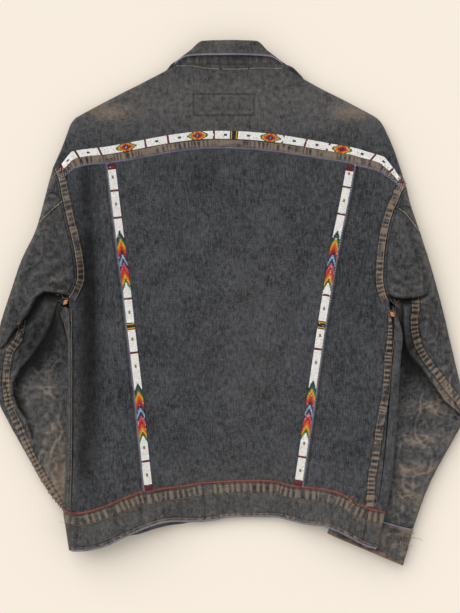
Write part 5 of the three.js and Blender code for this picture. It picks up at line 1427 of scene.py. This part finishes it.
def strip_colour(r, c, rows, middle):
    """Generic loom pattern of the slanting strips: evenly spaced bars, small diamonds and two runs of chevrons."""
    o_ = abs(c - 3.5)
    if r < 5 or r >= rows - 5:
        return BURGUNDY
    for share in (0.25, 0.72):
        k = r - share * rows + 26 + int(o_ + 0.5) * 2.2
        if 0 <= k < 52:
            return [GREEN, YELLOW, ORANGE_B, RED, PINK, NAVY, SKY, NAVY, RED, ORANGE_B, YELLOW, GREEN, NAVY][int(k / 4)]
        if -5 <= k < 57 + int(o_ + 0.5) * 2.2:
            return WHITE
    if abs(r - rows / 2) < 4:
        return YELLOW if int(abs(r - rows / 2)) == 2 else NIGHT
    phase = int(r) % 27
    if phase in (0, 1):
        return BURGUNDY
    if abs(phase - 14) + int(o_ + 0.5) * 1.2 < 2.3:
        return OCHRE
    return WHITE


def yoke_colour(r, c, rows, middle):
    """Generic loom pattern of the yoke band: four nested diamonds at equal spacing, with bars and small diamonds."""
    o_ = abs(c - 3.5)
    if r < 5 or r >= rows - 5:
        return BURGUNDY
    for share in (0.2, 0.4, 0.6, 0.8):
        k = abs(r - share * rows) + int(o_ + 0.5) * 1.6
        if k < 12:
            return [SKY, NAVY, RED, ORANGE_B, YELLOW, GREEN][int(k / 2)]
        if k < 18:
            return WHITE
    if abs(r - rows / 2) < 4:
        return YELLOW if int(abs(r - rows / 2)) == 2 else NIGHT
    phase = int(r) % 23
    if phase in (0, 1):
        return BURGUNDY
    if abs(phase - 12) + int(o_ + 0.5) * 1.2 < 2.3:
        return NAVY
    return WHITE


def bead_band(name, centre_xy, rows, colour, nodes):
    """Rows of seed beads over a woven ground; centre_xy(share, across) gives plan points."""
    s = (np.arange(rows) + 0.5) / rows
    o_ = (np.arange(BEAD_COLS) + 0.5) / BEAD_COLS
    S, O = np.meshgrid(s, o_, indexing='ij')
    x, y = centre_xy(S, O)
    z = top_z(x, y)
    P = np.stack([x, y, z], -1)
    du, dv = np.gradient(P, axis=0), np.gradient(P, axis=1)
    du /= np.linalg.norm(du, axis=2, keepdims=True)
    n = np.cross(du, dv)
    n /= np.linalg.norm(n, axis=2, keepdims=True)
    n *= np.sign(n[..., 2:3])
    side = np.cross(n, du)
    ground = Bag()
    gs, go = np.meshgrid(np.linspace(0.002, 0.998, rows // 2), np.linspace(0.02, 0.98, 7), indexing='ij')
    gx, gy = centre_xy(gs, go)
    gz = top_z(gx, gy)
    top = np.stack([gx, gy, gz + 0.75], -1)
    low = np.stack([gx, gy, gz + 0.30], -1)
    a, b = top.shape[:2]
    g = np.arange(a * b).reshape(a, b)
    quads = np.stack([g[:-1, :-1], g[1:, :-1], g[1:, 1:], g[:-1, 1:]], -1).reshape(-1, 4)
    if np.cross(top[1, 0] - top[0, 0], top[0, 1] - top[0, 0])[2] < 0:
        quads = quads[:, ::-1]
    faces = [tuple(q_) for q_ in quads.tolist()] + [tuple(i + a * b for i in q_[::-1]) for q_ in quads.tolist()]
    rim = [g[:, 0], g[-1, :], g[::-1, -1], g[0, ::-1]]
    for line in rim:
        for i in range(len(line) - 1):
            faces.append((int(line[i + 1]), int(line[i]), int(line[i]) + a * b, int(line[i + 1]) + a * b))
    ground.add(np.concatenate([top.reshape(-1, 3), low.reshape(-1, 3)]), faces)
    base = ground.make(name + '_ground', BACKING)
    bag = Bag()
    ang = np.linspace(0, 2 * np.pi, 6, endpoint=False)
    rings = [(0.80, -0.1), (0.70, 0.34)]
    faces = [(j, (j + 1) % 6, 6 + (j + 1) % 6, 6 + j) for j in range(6)] + [(6 + j, 6 + (j + 1) % 6, 12) for j in range(6)]
    middle = rows * 0.5
    for i in range(rows):
        for j in range(BEAD_COLS):
            jit = 1 + 0.05 * rng.standard_normal()
            base_p = P[i, j] + n[i, j] * 0.85 + du[i, j] * 0.06 * rng.standard_normal() + side[i, j] * 0.05 * rng.standard_normal()
            vs = [base_p + (du[i, j] * math.cos(a_) * 0.95 + side[i, j] * math.sin(a_) * 1.05) * r_ * jit + n[i, j] * h_ for r_, h_ in rings for a_ in ang]
            vs.append(base_p + n[i, j] * 0.58)
            c_ = np.array(colour(i, j, rows, middle)) * (1 + 0.07 * rng.standard_normal())
            if rng.random() < 0.02:
                c_ = np.array(IVORY)
            bag.add(vs, faces, tuple(np.clip(c_, 0, 1)))
    o = bag.make(name, BEADS, nodes)
    return o, base


def yoke_band_xy(S, O):
    u = S
    b, t_ = yokeXY(u, 0 * u), yokeXY(u, 0 * u + 1)
    ln = np.hypot(t_[0] - b[0], t_[1] - b[1])
    tight = np.minimum(1, ln / 44)
    k = (BAND_LOW + BAND_WIDTH * O) * tight / ln
    return yokeXY(u, k)


us = np.linspace(0.012, 0.988, 700)
bx, by = yoke_band_xy(us, 0 * us + 0.5)
arc = np.concatenate([[0], np.cumsum(np.hypot(np.diff(bx), np.diff(by)))])
yoke_rows = int(arc[-1] / BEAD)
even = lambda S: np.interp(S * arc[-1], arc, us)
bead_band('beads_yoke', lambda S, O: yoke_band_xy(even(S), O), yoke_rows, yoke_colour, ['bead_band_yoke'])


def strip_xy(sign, low, high):
    f = stripLeft if sign < 0 else stripRight

    def g(S, O):
        y = mix(low, high, S)
        slope = (f(y + 1) - f(y - 1)) / 2
        l = np.sqrt(1 + slope ** 2)
        d = (O - 0.5) * BAND_WIDTH * 0.97
        return f(y) + d / l, y - slope * d / l
    return g


for side_, sign, low, high in (('left', -1, LOW_L, HIGH_L), ('right', 1, LOW_R, HIGH_R)):
    low, high = low + 3.5, high - 2.8
    rows = int((high - low) / BEAD)
    bead_band(f'beads_strip_{side_}', strip_xy(sign, low, high), rows, strip_colour, [f'bead_strip_{side_}'])

# ------------------------------------------------------------------ buttons: the frame's own solids
for name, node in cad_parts.items():
    if name.startswith('button'):
        node.data.materials.clear()
        node.data.materials.append(COPPER)

# ------------------------------------------------------------------ floor, camera, light
bpy.ops.mesh.primitive_plane_add(size=9, location=(0, 0, -0.0004))
floor = bpy.context.object
floor.name = 'floor'
fm, ft, fb = nodes_of('paper')
fn = add_node(ft, 'ShaderNodeTexNoise', Scale=3, Detail=2)
ft.links.new(ft.nodes.new('ShaderNodeTexCoord').outputs['Object'], fn.inputs['Vector'])
ft.links.new(blend_colour(ft, fn.outputs[0], (0.925, 0.835, 0.72), (0.935, 0.845, 0.73)), fb.inputs['Base Color'])
fb.inputs['Roughness'].default_value = 0.95
fb.inputs['Specular IOR Level'].default_value = 0.0
floor.data.materials.append(fm)

DISTANCE = 2.5
cam_data = bpy.data.cameras.new('camera')
cam_data.sensor_width = 36
cam_data.lens = 36 * (DISTANCE - 0.02) / (613 * 1.45 / 1000)
cam_data.clip_end = 50
cam = bpy.data.objects.new('camera', cam_data)
cam.location = (0.0022, -0.00435, DISTANCE)
bpy.context.scene.collection.objects.link(cam)
bpy.context.scene.camera = cam

world = bpy.data.worlds.new('studio')
world.use_nodes = True
world.node_tree.nodes['Background'].inputs[0].default_value = (1, 1, 1, 1)
world.node_tree.nodes['Background'].inputs[1].default_value = 0.66
bpy.context.scene.world = world


sun_data = bpy.data.lights.new('key', 'SUN')
sun_data.energy, sun_data.angle = 1.55, 1.1
sun = bpy.data.objects.new('key', sun_data)
sun.rotation_mode = 'QUATERNION'
sun.rotation_quaternion = (-Vector((-0.65, 0.9, 1.15))).to_track_quat('-Z', 'Y')
sun.location = (-1.5, 2.0, 1.9)
bpy.context.scene.collection.objects.link(sun)
bpy.context.scene.view_settings.view_transform = 'Standard'

print('triangles', sum(TRIANGLES.values()), TRIANGLES)
